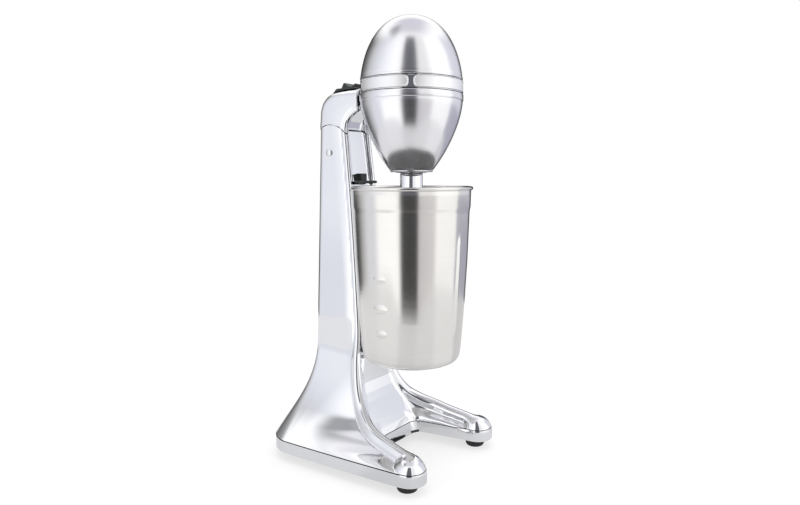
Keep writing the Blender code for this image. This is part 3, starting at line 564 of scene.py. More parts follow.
def surface_net(field, low, step, shape):
    """Points and quads of the field's zero surface over a grid, one point in each cell that it crosses."""
    axes = [low[i] + step[i] * np.arange(shape[i]) for i in range(3)]
    values = field(np.stack(np.meshgrid(*axes, indexing="ij"), -1))
    total = np.zeros([n - 1 for n in shape] + [3])
    crossings = np.zeros(total.shape[:3])

    def corner(offset):
        return values[tuple(slice(o, o + n - 1) for o, n in zip(offset, shape))]

    for axis in range(3):
        for i in (0, 1):
            for j in (0, 1):
                first = np.insert([i, j], axis, 0)
                second = np.insert([i, j], axis, 1)
                a, b = corner(first), corner(second)
                crosses = (a < 0) != (b < 0)
                spot = np.broadcast_to(first.astype(float), total.shape).copy()
                spot[..., axis] = np.where(crosses, a / np.where(crosses, a - b, 1.0), 0.0)
                total += spot * crosses[..., None]
                crossings += crosses
    used = crossings > 0
    index = np.full(used.shape, -1)
    index[used] = np.arange(used.sum())
    points = np.array(low) + np.array(step) * (np.argwhere(used) + total[used] / crossings[used][:, None])
    quads = []
    inside = values < 0
    for axis in range(3):
        u, v = (axis + 1) % 3, (axis + 2) % 3
        a = np.take(inside, range(shape[axis] - 1), axis)
        b = np.take(inside, range(1, shape[axis]), axis)
        edges = np.argwhere(a != b)
        edges = edges[(edges[:, u] > 0) & (edges[:, v] > 0) & (edges[:, u] < shape[u] - 1)
                      & (edges[:, v] < shape[v] - 1)]
        around = []
        for du, dv in ((1, 1), (0, 1), (0, 0), (1, 0)):
            cell = edges.copy()
            cell[:, u] -= du
            cell[:, v] -= dv
            around.append(index[tuple(cell.T)])
        quad = np.stack(around, 1)
        outwards = ~a[tuple(edges.T)]
        quad[outwards] = quad[outwards][:, ::-1]
        quads.append(quad)
    return points, np.vstack(quads)


def slope(field, points, reach=0.05):
    """The field's gradient at the points."""
    parts = []
    for axis in range(3):
        offset = np.zeros(3)
        offset[axis] = reach
        parts.append((field(points + offset) - field(points - offset)) / (2 * reach))
    return np.stack(parts, -1)


def crease_strip(points, quads, height, half):
    """Splits the net along a level row of points, and joins both sides by a narrow strip."""
    row = np.abs(points[:, 2] - height) < 1e-6
    extra = np.full(len(points), -1)
    extra[row] = len(points) + np.arange(row.sum())
    upper = points[row].copy()
    upper[:, 2] += half
    lower = points.copy()
    lower[row, 2] -= half
    above = points[quads][:, :, 2].mean(1) > height
    strip = []
    for quad in quads[above & (row[quads].sum(1) >= 2)]:
        for a, b in zip(quad, np.roll(quad, -1)):
            if row[a] and row[b]:
                strip.append((b, a, extra[a], extra[b]))
    lifted = quads.copy()
    swap = above[:, None] & row[quads]
    lifted[swap] = extra[quads[swap]]
    return np.vstack([lower, upper]), np.vstack([lifted, np.array(strip)])


def border_edges(quads):
    """Edges that only one face has, in that face's direction."""
    edges = np.vstack([np.stack([quads[:, i], quads[:, (i + 1) % 4]], 1) for i in range(4)])
    keys = np.sort(edges, 1)
    _, first, counts = np.unique(keys, axis=0, return_index=True, return_counts=True)
    return edges[first[counts == 1]]


def bent_field(points):
    return casing_field(raise_to_seam(points))


def draw_onto_skin(points, held, middle, rounds):
    """Moves points onto the casing's skin. Held ones keep their height, and middle ones stay at x = 0."""
    for _ in range(rounds):
        gradient = slope(bent_field, points)
        gradient[held, 2] = 0.0
        gradient[middle, 0] = 0.0
        step = -0.8 * bent_field(points)[:, None] * gradient / ((gradient ** 2).sum(1) + 1e-3)[:, None]
        step *= np.minimum(1.0, 0.6 / np.maximum(np.linalg.norm(step, axis=1), 1e-9))[:, None]
        points = points + step
    return points


def casing_net():
    """Points and quads of the right half of the casing's skin, and which points are on its middle plane."""
    low = (-CASING_STEP / 2, -52.0, SKIRT_BOTTOM - CASING_STEP_Z / 2)
    points, quads = surface_net(bent_field, low, (CASING_STEP, CASING_STEP, CASING_STEP_Z), (50, 105, 163))
    layer = np.floor((points[:, 2] - low[2]) / CASING_STEP_Z + 1e-6)
    centre = low[2] + (layer + 0.5) * CASING_STEP_Z
    for level in (SKIRT_BOTTOM, SKIRT_TOP, CASING_TOP):
        points[np.abs(centre - level) < 0.1, 2] = level
    middle = points[:, 0] < 0.5 * CASING_STEP
    points[middle, 0] = 0.0
    held = np.isin(points[:, 2], (SKIRT_BOTTOM, SKIRT_TOP, CASING_TOP))
    points = draw_onto_skin(points, held, middle, 5)

    points, quads = crease_strip(points, quads, SKIRT_TOP, CREASE_HALF)
    middle = points[:, 0] < 0.01
    levels = (SKIRT_BOTTOM, SKIRT_TOP - CREASE_HALF, SKIRT_TOP + CREASE_HALF, CASING_TOP)
    points = draw_onto_skin(points, np.isin(points[:, 2], levels), middle, 3)
    return raise_to_seam(points), quads, middle


def casing_normals(points, middle):
    """The skin's normals. Above the skirt they are taken over a wider reach, which softens small corners."""
    normals = slope(casing_field, points)
    upper = points[:, 2] > SKIRT_TOP + 1.5
    normals[upper] = slope(casing_field, points[upper], 0.7)
    normals[middle, 0] = 0.0
    return normals / np.linalg.norm(normals, axis=1)[:, None]


def make_stand_casing():
    """The cast column and base: half of its skin, given a wall and mirrored."""
    points, quads, middle = casing_net()
    normals = casing_normals(points, middle)
    rims = border_edges(quads)
    rims = rims[~(middle[rims[:, 0]] & middle[rims[:, 1]])]

    inward = normals.copy()
    rim_points = np.unique(rims)
    inward[rim_points, 2] = 0.0
    inner = points - inward * CASTING_WALL
    top = rim_points[points[rim_points, 2] > COLUMN_LOW]
    inner[top, 2] = cheek_height(inner[top, 1])
    count = len(points)
    whole = np.vstack([points, inner])
    skin_normals = np.vstack([normals, -normals])
    faces = np.vstack([quads, quads[:, ::-1] + count,
                       np.stack([rims[:, 1], rims[:, 0], rims[:, 0] + count, rims[:, 1] + count], 1)])

    on_plane = np.concatenate([middle, middle])
    partner = np.where(on_plane, np.arange(2 * count), 2 * count + np.cumsum(~on_plane) - 1)
    whole = np.vstack([whole, whole[~on_plane] * (-1, 1, 1)])
    skin_normals = np.vstack([skin_normals, skin_normals[~on_plane] * (-1, 1, 1)])
    rim_face = np.tile(np.arange(len(faces)) >= 2 * len(quads), 2)
    faces = np.vstack([faces, partner[faces][:, ::-1]])

    mesh = add_piece("stand_casing", "chrome", "stand", whole, faces.tolist()).data
    corner_normals = skin_normals[faces]
    face_normals = np.empty(len(mesh.polygons) * 3)
    mesh.polygons.foreach_get("normal", face_normals)
    corner_normals[rim_face] = face_normals.reshape(-1, 1, 3)[rim_face]
    mesh.normals_split_custom_set(corner_normals.reshape(-1, 3).tolist())


# ---------------------------------------------------------------- arm

# The arm's outer line and its inner line, as rows of y, z, y, z from the seam round to the head.
ELBOW = np.array([(91.0, 270.0, 56.6, 270.0), (90.9, 283.0, 57.2, 279.0), (90.2, 290.0, 56.8, 283.2),
                  (89.4, 298.0, 55.7, 286.6), (86.2, 305.2, 53.9, 289.2), (79.4, 310.6, 51.7, 291.2),
                  (69.4, 313.0, 49.3, 292.8), (57.0, 313.8, 46.9, 293.9), (44.5, 313.9, 44.5, 294.6)])


def half_section(half_width, depth, recess, corner=8.0):
    """Half a section of the arm as (x, distance from its rear), round to the middle of its inner panel."""
    bead_x, bead_s, bead_r = half_width - EDGE_BEAD_INSET, depth - EDGE_BEAD_R, EDGE_BEAD_R
    points = [(0.0, 0.0)]
    for i in range(9):
        angle = math.pi / 2 * i / 8
        points.append((half_width - corner + corner * math.sin(angle), corner * (1 - math.cos(angle))))
    points += [(half_width, depth * 0.55), (half_width, depth - 5.2), (half_width - 0.12, depth - 4.5),
               (half_width - 0.45, depth - 4.0)]
    for i in range(13):
        angle = math.radians(-12.0 + 192.0 * i / 12)
        points.append((bead_x + bead_r * math.cos(angle), bead_s + bead_r * math.sin(angle)))
    edge = bead_x - bead_r
    panel = depth - recess
    return points + [(edge - 0.1, panel + 0.5), (edge - 0.6, panel), (edge * 0.5, panel), (0.0, panel)]


def make_arm():
    """The elbow between the column and the head: a thick shell, cut clear of the seam and opened under the
    switch. Its lugs, which reach down to the pin, are made by make_lugs.
    """
    stations = curve_through(ELBOW, 6)
    rings = []
    for i, (y0, z0, y1, z1) in enumerate(stations):
        outer, along = np.array((y0, z0)), np.array((y1 - y0, z1 - z0))
        depth = np.linalg.norm(along)
        along = along / depth
        half = [(x, *(outer + along * s)) for x, s in
                half_section(17.6 - 0.6 * i / (len(stations) - 1), depth, 4.5)]
        rings.append(half + [(-x, y, z) for x, y, z in half[-2:0:-1]])
    points, faces = skin(rings)
    arm = add_piece("arm_casing", "chrome", "head", points, faces)
    tidy_normals(arm, 60.0)
    thicken(arm, CASTING_WALL)
    subtract(arm, ring_points(SEAM_R + SEAM_GAP, 128), 30.0)
    subtract(arm, [(52.2, 302.0), (52.2, 324.0), (71.8, 324.0), (71.8, 302.0)], 8.6)


def ring_points(radius, count):
    """A circle round the hinge pin, seen from the side."""
    spots = [polar(radius, 2 * math.pi * i / count) for i in range(count)]
    return [(PIVOT_Y + y, PIVOT_Z + z) for y, z in spots]


def subtract(piece, outline, half_width):
    """Cuts a solid from a side outline out of the piece."""
    points, faces = side_solid(outline, half_width)
    mesh = bpy.data.meshes.new("cutter")
    mesh.from_pydata(place(points).tolist(), [], faces)
    face_outwards(mesh)
    cutter = show("cutter", mesh)
    modifier = piece.modifiers.new("cut", "BOOLEAN")
    modifier.operation = "DIFFERENCE"
    modifier.solver = "EXACT"
    modifier.object = cutter
    settle(piece)
    bpy.data.objects.remove(cutter, do_unlink=True)


LUG_TURN = math.radians(126.0)      # the lugs' direction from the pin, seen from the side


def make_lugs():
    """The two lugs that reach down from the elbow to the hinge pin."""
    pivot = np.array((PIVOT_Y, PIVOT_Z))
    arc = [pivot + polar(6.0, angle) for angle in LUG_TURN - math.pi / 2 - np.linspace(0.0, math.pi, 17)]
    top = arc[0] + polar(27.0, LUG_TURN)
    outline = [top, *arc, (63.2, 279.0), (62.4, 287.5)]
    for name, x in (("left", -9.6), ("right", 9.6)):
        lug = plate("arm_lug_" + name, "chrome", "head", outline, 1.8, 0.5, centre_x=x)
        subtract(lug, ring_points(4.2, 48), 30.0)


def make_switch():
    """The bezel that follows the arm's top, and the rocker in it with its finger dish."""
    outline = rounded([(49.9, 314.1, 0), (64.0, 314.0, 10), (71.0, 312.9, 8), (75.0, 311.3, 0.3),
                       (75.4, 312.0, 0.8), (72.6, 314.6, 2.5), (71.0, 315.6, 1.2), (50.4, 315.2, 0.8),
                       (49.8, 314.7, 0)], 3)
    bezel = plate("switch_bezel", "black_plastic", "head", outline, 12.3, 0.45)
    subtract(bezel, [(52.7, 300.0), (71.3, 300.0), (71.3, 330.0), (52.7, 330.0)], 7.9)

    front = bezier((54.6, 319.3), (57.2, 316.2), (62.6, 316.0), (66.0, 320.6), 10)
    rear = rounded([(66.0, 320.6, 0), (67.6, 320.4, 1.2), (70.3, 315.6, 1.5), (70.4, 311.0, 0)], 4)
    below = [(66.5, 307.0), (57.5, 307.0), (54.0, 311.0), (53.9, 317.4), (54.1, 319.1)]
    outline = front + rear[1:] + below
    plate("speed_rocker", "black_plastic", "rocker", outline, 7.5, 0.45, sharp=28.0)


# ---------------------------------------------------------------- motor head

def cap_profile(radius, height, low, steps):
    """A blunt egg's outline from a height up to its top, as (radius, height)."""
    start = math.asin(((low - EQUATOR_Z) / height) ** 1.1)
    angles = np.linspace(start, math.pi / 2, steps)
    return [(radius * max(math.cos(a), 0.0) ** (2 / 2.2) if i < steps - 1 else 0.0,
             EQUATOR_Z + height * math.sin(a) ** (2 / 2.2)) for i, a in enumerate(angles)]


def make_housing():
    """The two spun shells of the egg, the band between them, and the ring in its nose."""
    low = BAND_HIGH + 0.3
    outer = cap_profile(EGG_R, TOP_Z - EQUATOR_Z, low + 3.0, 56)
    foot = [(40.9, low), (41.25, low + 0.15), (41.4, low + 0.5), (41.42, low + 1.7), (41.3, low + 1.95),
            (40.95, low + 2.05), (40.95, low + 2.4), (outer[0][0] - 0.12, low + 2.55)]
    inner = cap_profile(EGG_R - 2.0, TOP_Z - EQUATOR_Z - 2.0, low, 40)
    turned("housing_cap", "satin_chrome", "head", foot + outer + inner[::-1][1:], closed=True, steps=144,
           sharp=50.0)

    skin_line = bezier((41.5, EQUATOR_Z - 4.6), (40.6, 288.0), (33.6, 266.2), (17.9, 246.0), 44)
    ring = [(40.0, BAND_LOW - 0.3), (41.5, BAND_LOW - 0.3), (41.9, BAND_LOW - 0.5), (42.1, BAND_LOW - 1.0),
            (42.1, BAND_LOW - 3.6), (42.0, BAND_LOW - 5.2), (41.8, BAND_LOW - 5.7), (41.4, BAND_LOW - 5.9),
            (41.4, BAND_LOW - 6.3)]
    nose = [(17.6, 245.8), (17.3, 245.5), (17.55, 245.1), (17.5, 244.7), (17.1, 244.3), (16.6, NOSE_Z),
            (13.8, NOSE_Z), (13.4, 244.6), (13.4, 248.0), (5.3, 248.0), (5.3, 258.0), (8.6, 258.0),
            (8.6, 251.0), (15.5, 251.0)]
    inside = [(r - 2.0, z + 1.2) for r, z in skin_line[::-3]][1:]
    profile = ring + [(r, z) for r, z in skin_line if z < BAND_LOW - 6.4] + nose + inside
    turned("housing_lower", "satin_chrome", "head", profile, closed=True, steps=144, sharp=50.0)

    band = [(39.4, BAND_LOW), (41.1, BAND_LOW), (41.5, BAND_LOW + 0.2), (41.55, BAND_LOW + 0.6),
            (41.1, BAND_LOW + 0.85)]
    band += [(r, BAND_LOW + BAND_HIGH - z) for r, z in band[::-1]]
    turned("trim_band", "chrome", "head", band, closed=True, steps=144, sharp=40.0)
    ring = [(13.0, 247.6), (13.0, 244.9), (12.7, 244.0), (12.0, 243.6), (11.0, 243.6), (10.3, 243.9),
            (10.0, 244.6), (10.0, 247.6)]
    turned("nose_ring", "chrome", "head", ring, closed=True, sharp=40.0)


def make_badge_plate(name, middle, half_angle):
    """A blank plate round the band, with rounded corners and a fine raised border."""
    half_length = math.radians(half_angle) * EGG_R
    half_height = (BAND_HIGH - BAND_LOW) / 2 - 1.0
    corner = 3.2
    steps = np.array((0.0, 0.18, 0.5, 0.8, 1.05, 1.5, 2.2, 3.0))
    along = np.concatenate([-half_length + steps, np.linspace(-half_length + 4.0, half_length - 4.0, 44),
                            (half_length - steps)[::-1]])
    across = np.concatenate([-1 + steps[:5] / half_height, np.linspace(-0.68, 0.68, 7),
                             (1 - steps[:5] / half_height)[::-1]])
    rings = []
    for s in along:
        past = max(abs(s) - (half_length - corner), 0.0)
        reach = half_height - corner + math.sqrt(max(corner ** 2 - past ** 2, 0.01))
        row = []
        for share in across:
            h = share * reach
            a, b = abs(s) - half_length + corner, abs(h) - half_height + corner
            depth = corner - min(max(a, b), 0.0) - math.hypot(max(a, 0.0), max(b, 0.0))
            lift = np.interp(depth, (0.0, 0.18, 0.6, 0.85, 1.1), (0.42, 0.62, 0.62, 0.45, 0.42))
            angle = math.radians(middle) + s / EGG_R
            row.append((*polar(EGG_R - 0.6 + lift, angle), (BAND_LOW + BAND_HIGH) / 2 + h))
        rings.append(row)
    points, faces = skin(rings, closed_round=False)
    piece = add_piece("badge_plate_" + name, "satin_chrome", "head", points, faces, "plate_silver")
    tidy_normals(piece)
    thicken(piece, 0.4)
    piece.data.set_sharp_from_angle(angle=math.radians(50.0))


# ---------------------------------------------------------------- spindle

def make_spindle():
    """The collar, the rod, the wavy agitator and its nut."""
    collar = [(0.0, 222.0), (4.3, 222.0), (4.3, COLLAR_HIGH), (8.2, COLLAR_HIGH), (8.9, COLLAR_HIGH - 0.2),
              (COLLAR_R, COLLAR_HIGH - 0.8), (COLLAR_R, 226.0), (9.1, 225.8), (9.1, 225.2),
              (COLLAR_R, 225.0), (COLLAR_R, COLLAR_LOW + 1.4), (8.9, COLLAR_LOW + 0.4), (8.2, COLLAR_LOW),
              (ROD_R + 0.5, COLLAR_LOW), (ROD_R + 0.3, COLLAR_LOW + 0.4), (ROD_R + 0.3, 219.0), (0.0, 219.0)]
    turned("spindle_collar", "chrome", "rotor", collar, sharp=35.0)
    rod = [(0.0, 218.5), (ROD_R - 0.4, 218.5), (ROD_R, 218.1), (ROD_R, AGITATOR_Z + 2.0),
           (ROD_R - 0.5, AGITATOR_Z + 1.4), (ROD_R - 1, AGITATOR_Z + 1.4), (ROD_R - 1, AGITATOR_Z - 4.2),
           (ROD_R - 1.4, AGITATOR_Z - 4.6), (0.0, AGITATOR_Z - 4.6)]
    turned("spindle_rod", "chrome", "rotor", rod, steps=48, sharp=35.0)

    upper = [(2.3, 0.6), (2.8, 0.7), (6.0, 0.7), (AGITATOR_R - 0.7, 0.7), (AGITATOR_R - 0.2, 0.5)]
    across = upper + [(AGITATOR_R, 0.0)] + [(r, -z) for r, z in upper[::-1]]
    rings = []
    for angle in np.arange(120) * math.pi / 60:
        wave = 2.2 * math.sin(-5 * angle)
        rings.append([(*polar(r, angle), AGITATOR_Z + z + wave * max(0.0, (r - 6) / (AGITATOR_R - 6)) ** 1.3)
                      for r, z in across])
    tidy_normals(add_piece("agitator", "chrome", "rotor", *skin(rings, closed_along=True)), 40.0)
    nut = [(2.3, AGITATOR_Z - 1.0), (3.6, AGITATOR_Z - 1.0), (4.2, AGITATOR_Z - 1.3),
           (4.2, AGITATOR_Z - 3.9), (3.6, AGITATOR_Z - 4.2), (2.3, AGITATOR_Z - 4.2)]
    turned("agitator_nut", "screw_steel", "rotor", nut, closed=True, steps=6, sharp=20.0)


# ---------------------------------------------------------------- cup

CUP_SIDE = [(49.3, 229.2), (49.1, 226.0), (48.95, 216.6), (48.75, 215.4), (48.3, 213.4), (48.15, 212.2),
            (46.8, 172.6), (44.2, 126.0), (42.1, 99.0), (41.4, 93.6)]
CUP_STEPS = 288
FLUTE_TOP, FLUTE_BOTTOM = 197.0, 112.0
MARKS = ((161.0, 1.0), (136.5, 1.25), (116.5, 1.0))     # height and scale of each oval mark


def cup_radius(height):
    return float(np.interp(height, [z for _, z in CUP_SIDE[::-1]], [r for r, _ in CUP_SIDE[::-1]]))


def cup_swell(angles, height):
    """How far the pressed flutes and the oval marks stand out of the cup's side, at angles and a height."""
    out = np.zeros(len(angles))
    if 90.0 < height < 212.0:
        radius = cup_radius(height)
        for middle in (-0.5 * math.pi, 0.5 * math.pi):
            across = radius * np.abs(turn_from(middle, angles))
            ends = np.clip(min(height - FLUTE_BOTTOM, FLUTE_TOP - height) / 9.0, 0.0, 1.0)
            width = 0.3 + 2.1 * ends
            out += 0.9 * ends * np.clip(1.0 - (across / width) ** 2, 0.0, 1.0) ** 1.5
        for middle in (0.0, math.pi):
            across = radius * turn_from(middle + 0.05, angles)
            for level, scale in MARKS:
                share = np.hypot(across / (5.4 * scale), (height - level) / (2.7 * scale))
                out += 0.7 * np.clip(1.0 - share ** 5, 0.0, 1.0)
    return out


def make_cup():
    """The steel cup: a rolled rim, a step under it, flutes, oval marks, and a satin inside, painted paler
    than the outside as painted light against the shade within the cup.
    """
    bead = [(RIM_R - RIM_BEAD_R + RIM_BEAD_R * math.cos(a), RIM_Z + RIM_BEAD_R * math.sin(a))
            for a in np.radians(np.linspace(200.0, -100.0, 26))]
    side = CUP_SIDE[:6] + [(cup_radius(z), z) for z in np.arange(211.0, 94.0, -1.0)]
    corner = bezier(CUP_SIDE[-1], (41.0, 90.6), (39.6, 87.5), (36.6, CUP_BOTTOM), 10)
    outside = side + corner + [(34.0, CUP_BOTTOM), (33.4, CUP_BOTTOM + 0.5), (0.0, CUP_BOTTOM + 0.5)]
    floor_z = CUP_BOTTOM + CUP_WALL + 0.5
    inside = [(0.0, floor_z), (33.0, floor_z)] + [(r - CUP_WALL, z + CUP_WALL) for r, z in corner[::-1]]
    inside += [(r - CUP_WALL, z) for r, z in side[::-1]]
    cup = turned("mixing_cup", "brushed_steel", "cup", inside + bead + outside, steps=CUP_STEPS, sharp=60.0,
                 swell=cup_swell)
    # The inside takes the paler steel, painted light against the shade in the cup.
    cup.data.materials.append(MATERIALS["steel_inside_painted_light"])
    for face in list(cup.data.polygons)[:CUP_STEPS * len(inside)]:
        face.material_index = 1


# ---------------------------------------------------------------- fittings on the stand

def make_guide():
    """The hook over the cup's rear rim: a block on the column and a curved lip."""
    low, high, half_angle = 234.6, 237.0, math.radians(15.5)
    across = np.array(rounded([(49.6, low, 0), (48.9, low, 0.7), (48.9, high, 0.7), (52.3, high, 0.7),
                               (52.3, low, 0.7), (49.6, low, 0)], 3)[:-1])
    centre = np.array((50.6, (low + high) / 2))
    rings = []
    for share in np.linspace(-1.0, 1.0, 33):
        angle = math.pi / 2 + half_angle * share
        narrow = 1.0 - 0.35 * max(abs(share) - 0.9, 0.0) / 0.1
        rings.append([(*polar(r, angle), z) for r, z in centre + (across - centre) * narrow])
    tidy_normals(add_piece("cup_guide", "black_plastic", "stand", *skin(rings, caps=True)), 40.0)
    rear = 56.8
    outline = [(51.4, low), (rear, low), (rear + 0.15, low + 8.6), (51.4, low + 8.6)]
    plate("cup_guide_block", "black_plastic", "stand", outline, 4.0, 0.7)


def make_rest():
    """The small shelf under the rear edge of the cup's bottom."""
    outline = [(31.9, 85.3), (43.9, 85.3), (43.9, 87.0), (31.9, 87.0)]
    plate("cup_rest", "chrome", "stand", outline, 12.0, 0.6)


def make_feet():
    """Round rubber feet with a soft lower edge and a shallow hollow."""
    for name, (x, y) in FEET.items():
        profile = [(0.0, 12.6), (2.0, 12.6), (2.2, 12.4), (2.2, 8.0), (8.0, 7.8), (8.4, 7.4), (8.45, 3.2),
                   (8.2, 1.6), (7.6, 0.5), (6.8, 0.0), (4.4, 0.0), (3.8, 0.5), (0.0, 0.6)]
        turned("foot_" + name, "black_rubber", "stand", profile, (x, y, 0.0), steps=64, sharp=50.0)


def make_hinge():
    """The hinge pin: its domed head on the left cheek, and its shank through to the right one."""
    half = 18.3
    shank = [(0.0, half + 0.9), (2.0, half + 0.9), (2.4, half + 0.5), (2.4, -half), (2.6, -half),
             (3.0, -half - 0.15), (3.1, -half - 0.45), (2.6, -half - 0.95), (1.4, -half - 1.2),
             (0.0, -half - 1.3)]
    turned("hinge_pin", "chrome", "stand", shank, (0.0, PIVOT_Y, PIVOT_Z), axis=0, steps=48, sharp=40.0)


def make_gland():
    """The ribbed bush in the base's rear, where the cord would enter."""
    ribs = []
    for i in range(3):
        y = 1.3 - 1.5 * i
        ribs += [(3.6, y + 0.75), (3.6, y + 0.1), (3.2, y - 0.05), (3.2, y - 0.6)]
    profile = [(2.4, 3.4), (2.6, 3.6), (3.3, 3.6), (3.6, 3.3), *ribs, (3.6, -2.6), (3.5, -4.0), (2.4, -4.0)]
    turned("cord_gland", "black_rubber", "stand", profile, (0.0, 108.2, 26.0), axis=1, closed=True, steps=64,
           sharp=35.0)


def dress_frame():
    """Gives each CAD piece that still shows the material of its slot."""
    for entry in frame["record"]["subparts"]:
        piece = nodes[entry["node"]]
        finish = MATERIALS[entry["material_slot"]]
        if not piece.material_slots:
            piece.data.materials.append(finish)
        for holder in piece.material_slots:
            holder.material = finish


# ---------------------------------------------------------------- stage, light and camera

CAMERA_TURN = -53.53


def bearing(n, way):
    """A direction turned to the camera's heading: its parts, its part towards the camera's side, and the
    degrees between that side and it, positive to the camera's right."""
    heading = n.node("ShaderNodeVectorRotate", {"Vector": way, "Angle": math.radians(-CAMERA_TURN)},
                     rotation_type="Z_AXIS").outputs[0]
    parts = n.node("ShaderNodeSeparateXYZ", {"Vector": heading}).outputs
    towards = n.times(parts["Y"], -1.0)
    return parts, towards, n.math("DEGREES", n.math("ARCTAN2", parts["X"], towards))


def ramp_round(n, around, stops):
    """A ramp over the degrees round the mixer, from -180 to 180."""
    share = n.spread(around, -180.0, 180.0)
    return n.ramp(share, [((degrees + 180.0) / 360.0, level) for degrees, level in stops])


def make_stage():
    """A pale table, seamless against a plain white room. Its glow is painted light: to the camera it glows
    enough to wash out its shadows. In reflections it glows less, as painted shade, least of all close to the
    mixer and in some lanes that run out from it, and it ends sooner towards the camera."""
    n, shader, at = material("paper_painted_glow", Roughness=0.9, Emission_Color=(1.0, 1.0, 1.0, 1.0))
    spot = n.node("ShaderNodeVectorMath", {0: at}, operation="LENGTH").outputs["Value"]
    # Painted shade: in reflections the glow is dimmer close to the mixer, where its shadow would fall.
    shade = n.spread(spot, 0.11, 0.26, 0.47, 0.58, "SMOOTHSTEP")
    _, _, around = bearing(n, at)
    # Painted shade: lanes of dimmer glow that run out from the mixer, seen in reflections.
    painted_lane_shade = ramp_round(n, around, [
        (-180, 1.0), (-100, 0.92), (-78, 0.94), (-66, 1.0), (-26, 1.0), (-18, 0.80), (10, 0.80), (16, 0.86),
        (45, 0.86), (54, 1.0), (95, 1.0), (103, 0.66), (150, 0.66), (165, 1.0)])
    seen = n.node("ShaderNodeLightPath").outputs["Is Camera Ray"]
    # Painted light: the table glows, and to the camera brightly enough to hide its shadows.
    n.feed(shader.inputs["Emission Strength"],
           n.math("MAXIMUM", n.times(shade, painted_lane_shade), n.times(seen, 0.70)))
    # A dim base colour with a slight random tone, so that the painted glow outweighs the table's shadows.
    tone = n.mix(n.noise(at, 30.0, 3.0), (0.29, 0.29, 0.295), (0.31, 0.31, 0.31))
    n.feed(shader.inputs["Base Color"], tone)
    ring = []
    for angle in np.arange(128) * math.pi / 64:
        turn = turn_from(math.radians(CAMERA_TURN - 90.0), angle)
        ring.append((*polar(0.62 - 0.19 * math.exp(-(turn / 0.6) ** 4), angle), 0.0))
    mesh = bpy.data.meshes.new("table_top")
    mesh.from_pydata(ring, [], [tuple(range(len(ring)))])
    mesh.materials.append(MATERIALS["paper_painted_glow"])
    floor = show("table_top", mesh)


# Tones that the tent's walls and roof share.
COOL = (0.72, 0.73, 0.785)
GAP = (0.12, 0.12, 0.14)
LAVENDER = (0.66, 0.65, 0.71)


def make_walls(n, up, around):
    """The tent's walls: panels with dark gaps between them, mostly darker below the horizon."""
    upper = ramp_round(n, around, [
        (-180, 0.03), (-152, 0.04), (-130, 0.22), (-112, 0.55), (-90, COOL), (-62, (0.95, 0.96, 1.0)),
        (-40, 1.08), (-25, 1.04), (-19, GAP), (11, GAP), (15, 0.86), (36, 0.84), (52, 1.15), (96, 1.08),
        (104, COOL), (140, (0.64, 0.64, 0.71)), (154, 0.06), (180, 0.03)])
    lower = ramp_round(n, around, [
        (-180, 0.03), (-150, 0.04), (-128, 0.10), (-112, 0.45), (-96, COOL), (-78, COOL), (-66, 1.08),
        (-26, 1.12), (-19, 0.05), (11, 0.05), (15, (0.60, 0.58, 0.60)), (44, (0.68, 0.66, 0.67)),
        (52, 1.02), (96, 0.98), (101, (0.44, 0.44, 0.51)), (148, (0.38, 0.38, 0.45)), (156, 0.06),
        (180, 0.03)])
    return n.mix(n.fade(up, -7.0, -1.0), lower, upper)


def make_roof(n, up, parts, towards):
    """The tent's roof: nearly white, with a lavender band overhead and just behind."""
    height = n.spread(up, 0.0, 90.0)
    plain = n.ramp(height, [(0.0, 1.0), (50 / 90, 1.08), (64 / 90, 1.0), (1.0, (0.78, 0.78, 0.83))])
    over = n.math("DEGREES", n.math("ARCTAN2", parts["Z"], towards))
    centred = n.fade(n.math("ABSOLUTE", parts["X"]), 0.55, 0.15)
    band = n.times(n.fade(over, 66.0, 82.0), n.fade(over, 124.0, 114.0))
    return n.mix(n.times(centred, band), plain, LAVENDER)


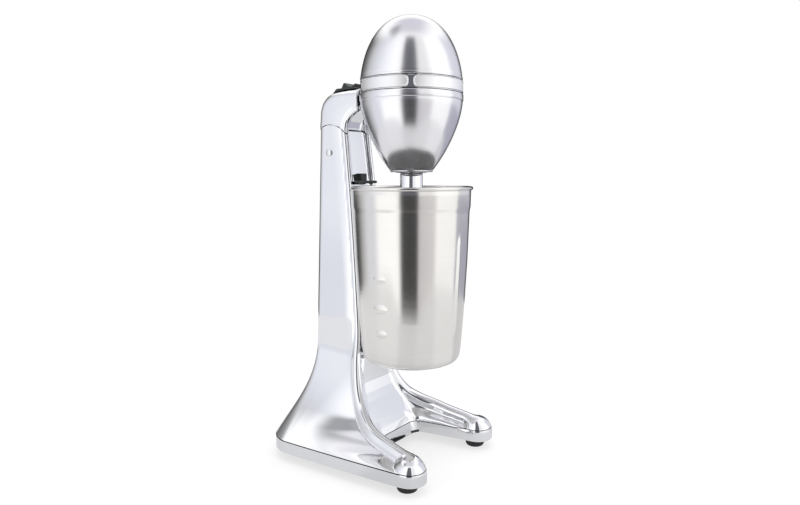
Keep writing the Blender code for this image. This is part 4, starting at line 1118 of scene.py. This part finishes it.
def make_world():
    """A white tent with soft dark gaps between its panels, which polished metal needs to show its shape."""
    world = bpy.data.worlds.new("studio")
    world.use_nodes = True
    bpy.context.scene.world = world
    world.node_tree.nodes.clear()
    n = Nodes(world.node_tree)
    way = n.node("ShaderNodeTexCoord").outputs["Generated"]
    parts, towards, around = bearing(n, way)
    up = n.math("DEGREES", n.math("ARCSINE", parts["Z"]))

    eaves = n.math("ADD", up, n.times(parts["Y"], 28.0))
    tent = n.mix(n.fade(eaves, 46.0, 58.0), make_walls(n, up, around), make_roof(n, up, parts, towards))
    rise = n.times(n.fade(up, 50.0, 61.0), n.fade(up, 78.0, 66.0))
    beside = n.times(n.fade(around, -56.0, -84.0), n.fade(around, -128.0, -106.0))
    flag = n.times(n.times(rise, beside), 0.85)
    studio = n.mix(flag, tent, (0.26, 0.26, 0.28))
    bright = n.node("ShaderNodeBackground", {"Color": studio, "Strength": 1.18}).outputs[0]
    plain = n.node("ShaderNodeBackground", {"Color": (1.0, 1.0, 1.0, 1.0), "Strength": 1.0}).outputs[0]
    seen = n.node("ShaderNodeLightPath").outputs["Is Camera Ray"]
    both = n.node("ShaderNodeMixShader", {0: seen, 1: bright, 2: plain}).outputs[0]
    n.node("ShaderNodeOutputWorld", {"Surface": both})


def make_lamp():
    """A soft lamp overhead, hidden from the chrome's reflections."""
    lamp = bpy.data.lights.new("overhead", "AREA")
    lamp.shape = "DISK"
    lamp.size = 1.0
    lamp.energy = 6.0
    hung = show("overhead", lamp)
    hung.location = (0.0, 0.0, 1.5)
    hung.visible_glossy = False


def make_camera():
    lens = bpy.data.cameras.new("camera")
    lens.lens = 27.735
    lens.sensor_width = 36.0
    lens.shift_x = -0.0143
    camera = show("camera", lens)
    camera.location = (-0.4118, -0.33495, 0.2427)
    camera.rotation_euler = (math.radians(82.74), 0.0, math.radians(CAMERA_TURN))
    bpy.context.scene.camera = camera


# ---------------------------------------------------------------- assembly

make_materials()
make_camera()
make_world()
make_lamp()
make_stage()
dress_frame()
make_stand_casing()
make_arm()
make_lugs()
make_switch()
make_housing()
for badge in (("front", 270.0, 51.5), ("left", 180.0, 33.5), ("right", 0.0, 33.5)):
    make_badge_plate(*badge)
make_spindle()
make_cup()
make_guide()
make_rest()
make_feet()
make_hinge()
make_gland()

bpy.context.scene.view_settings.view_transform = "Standard"
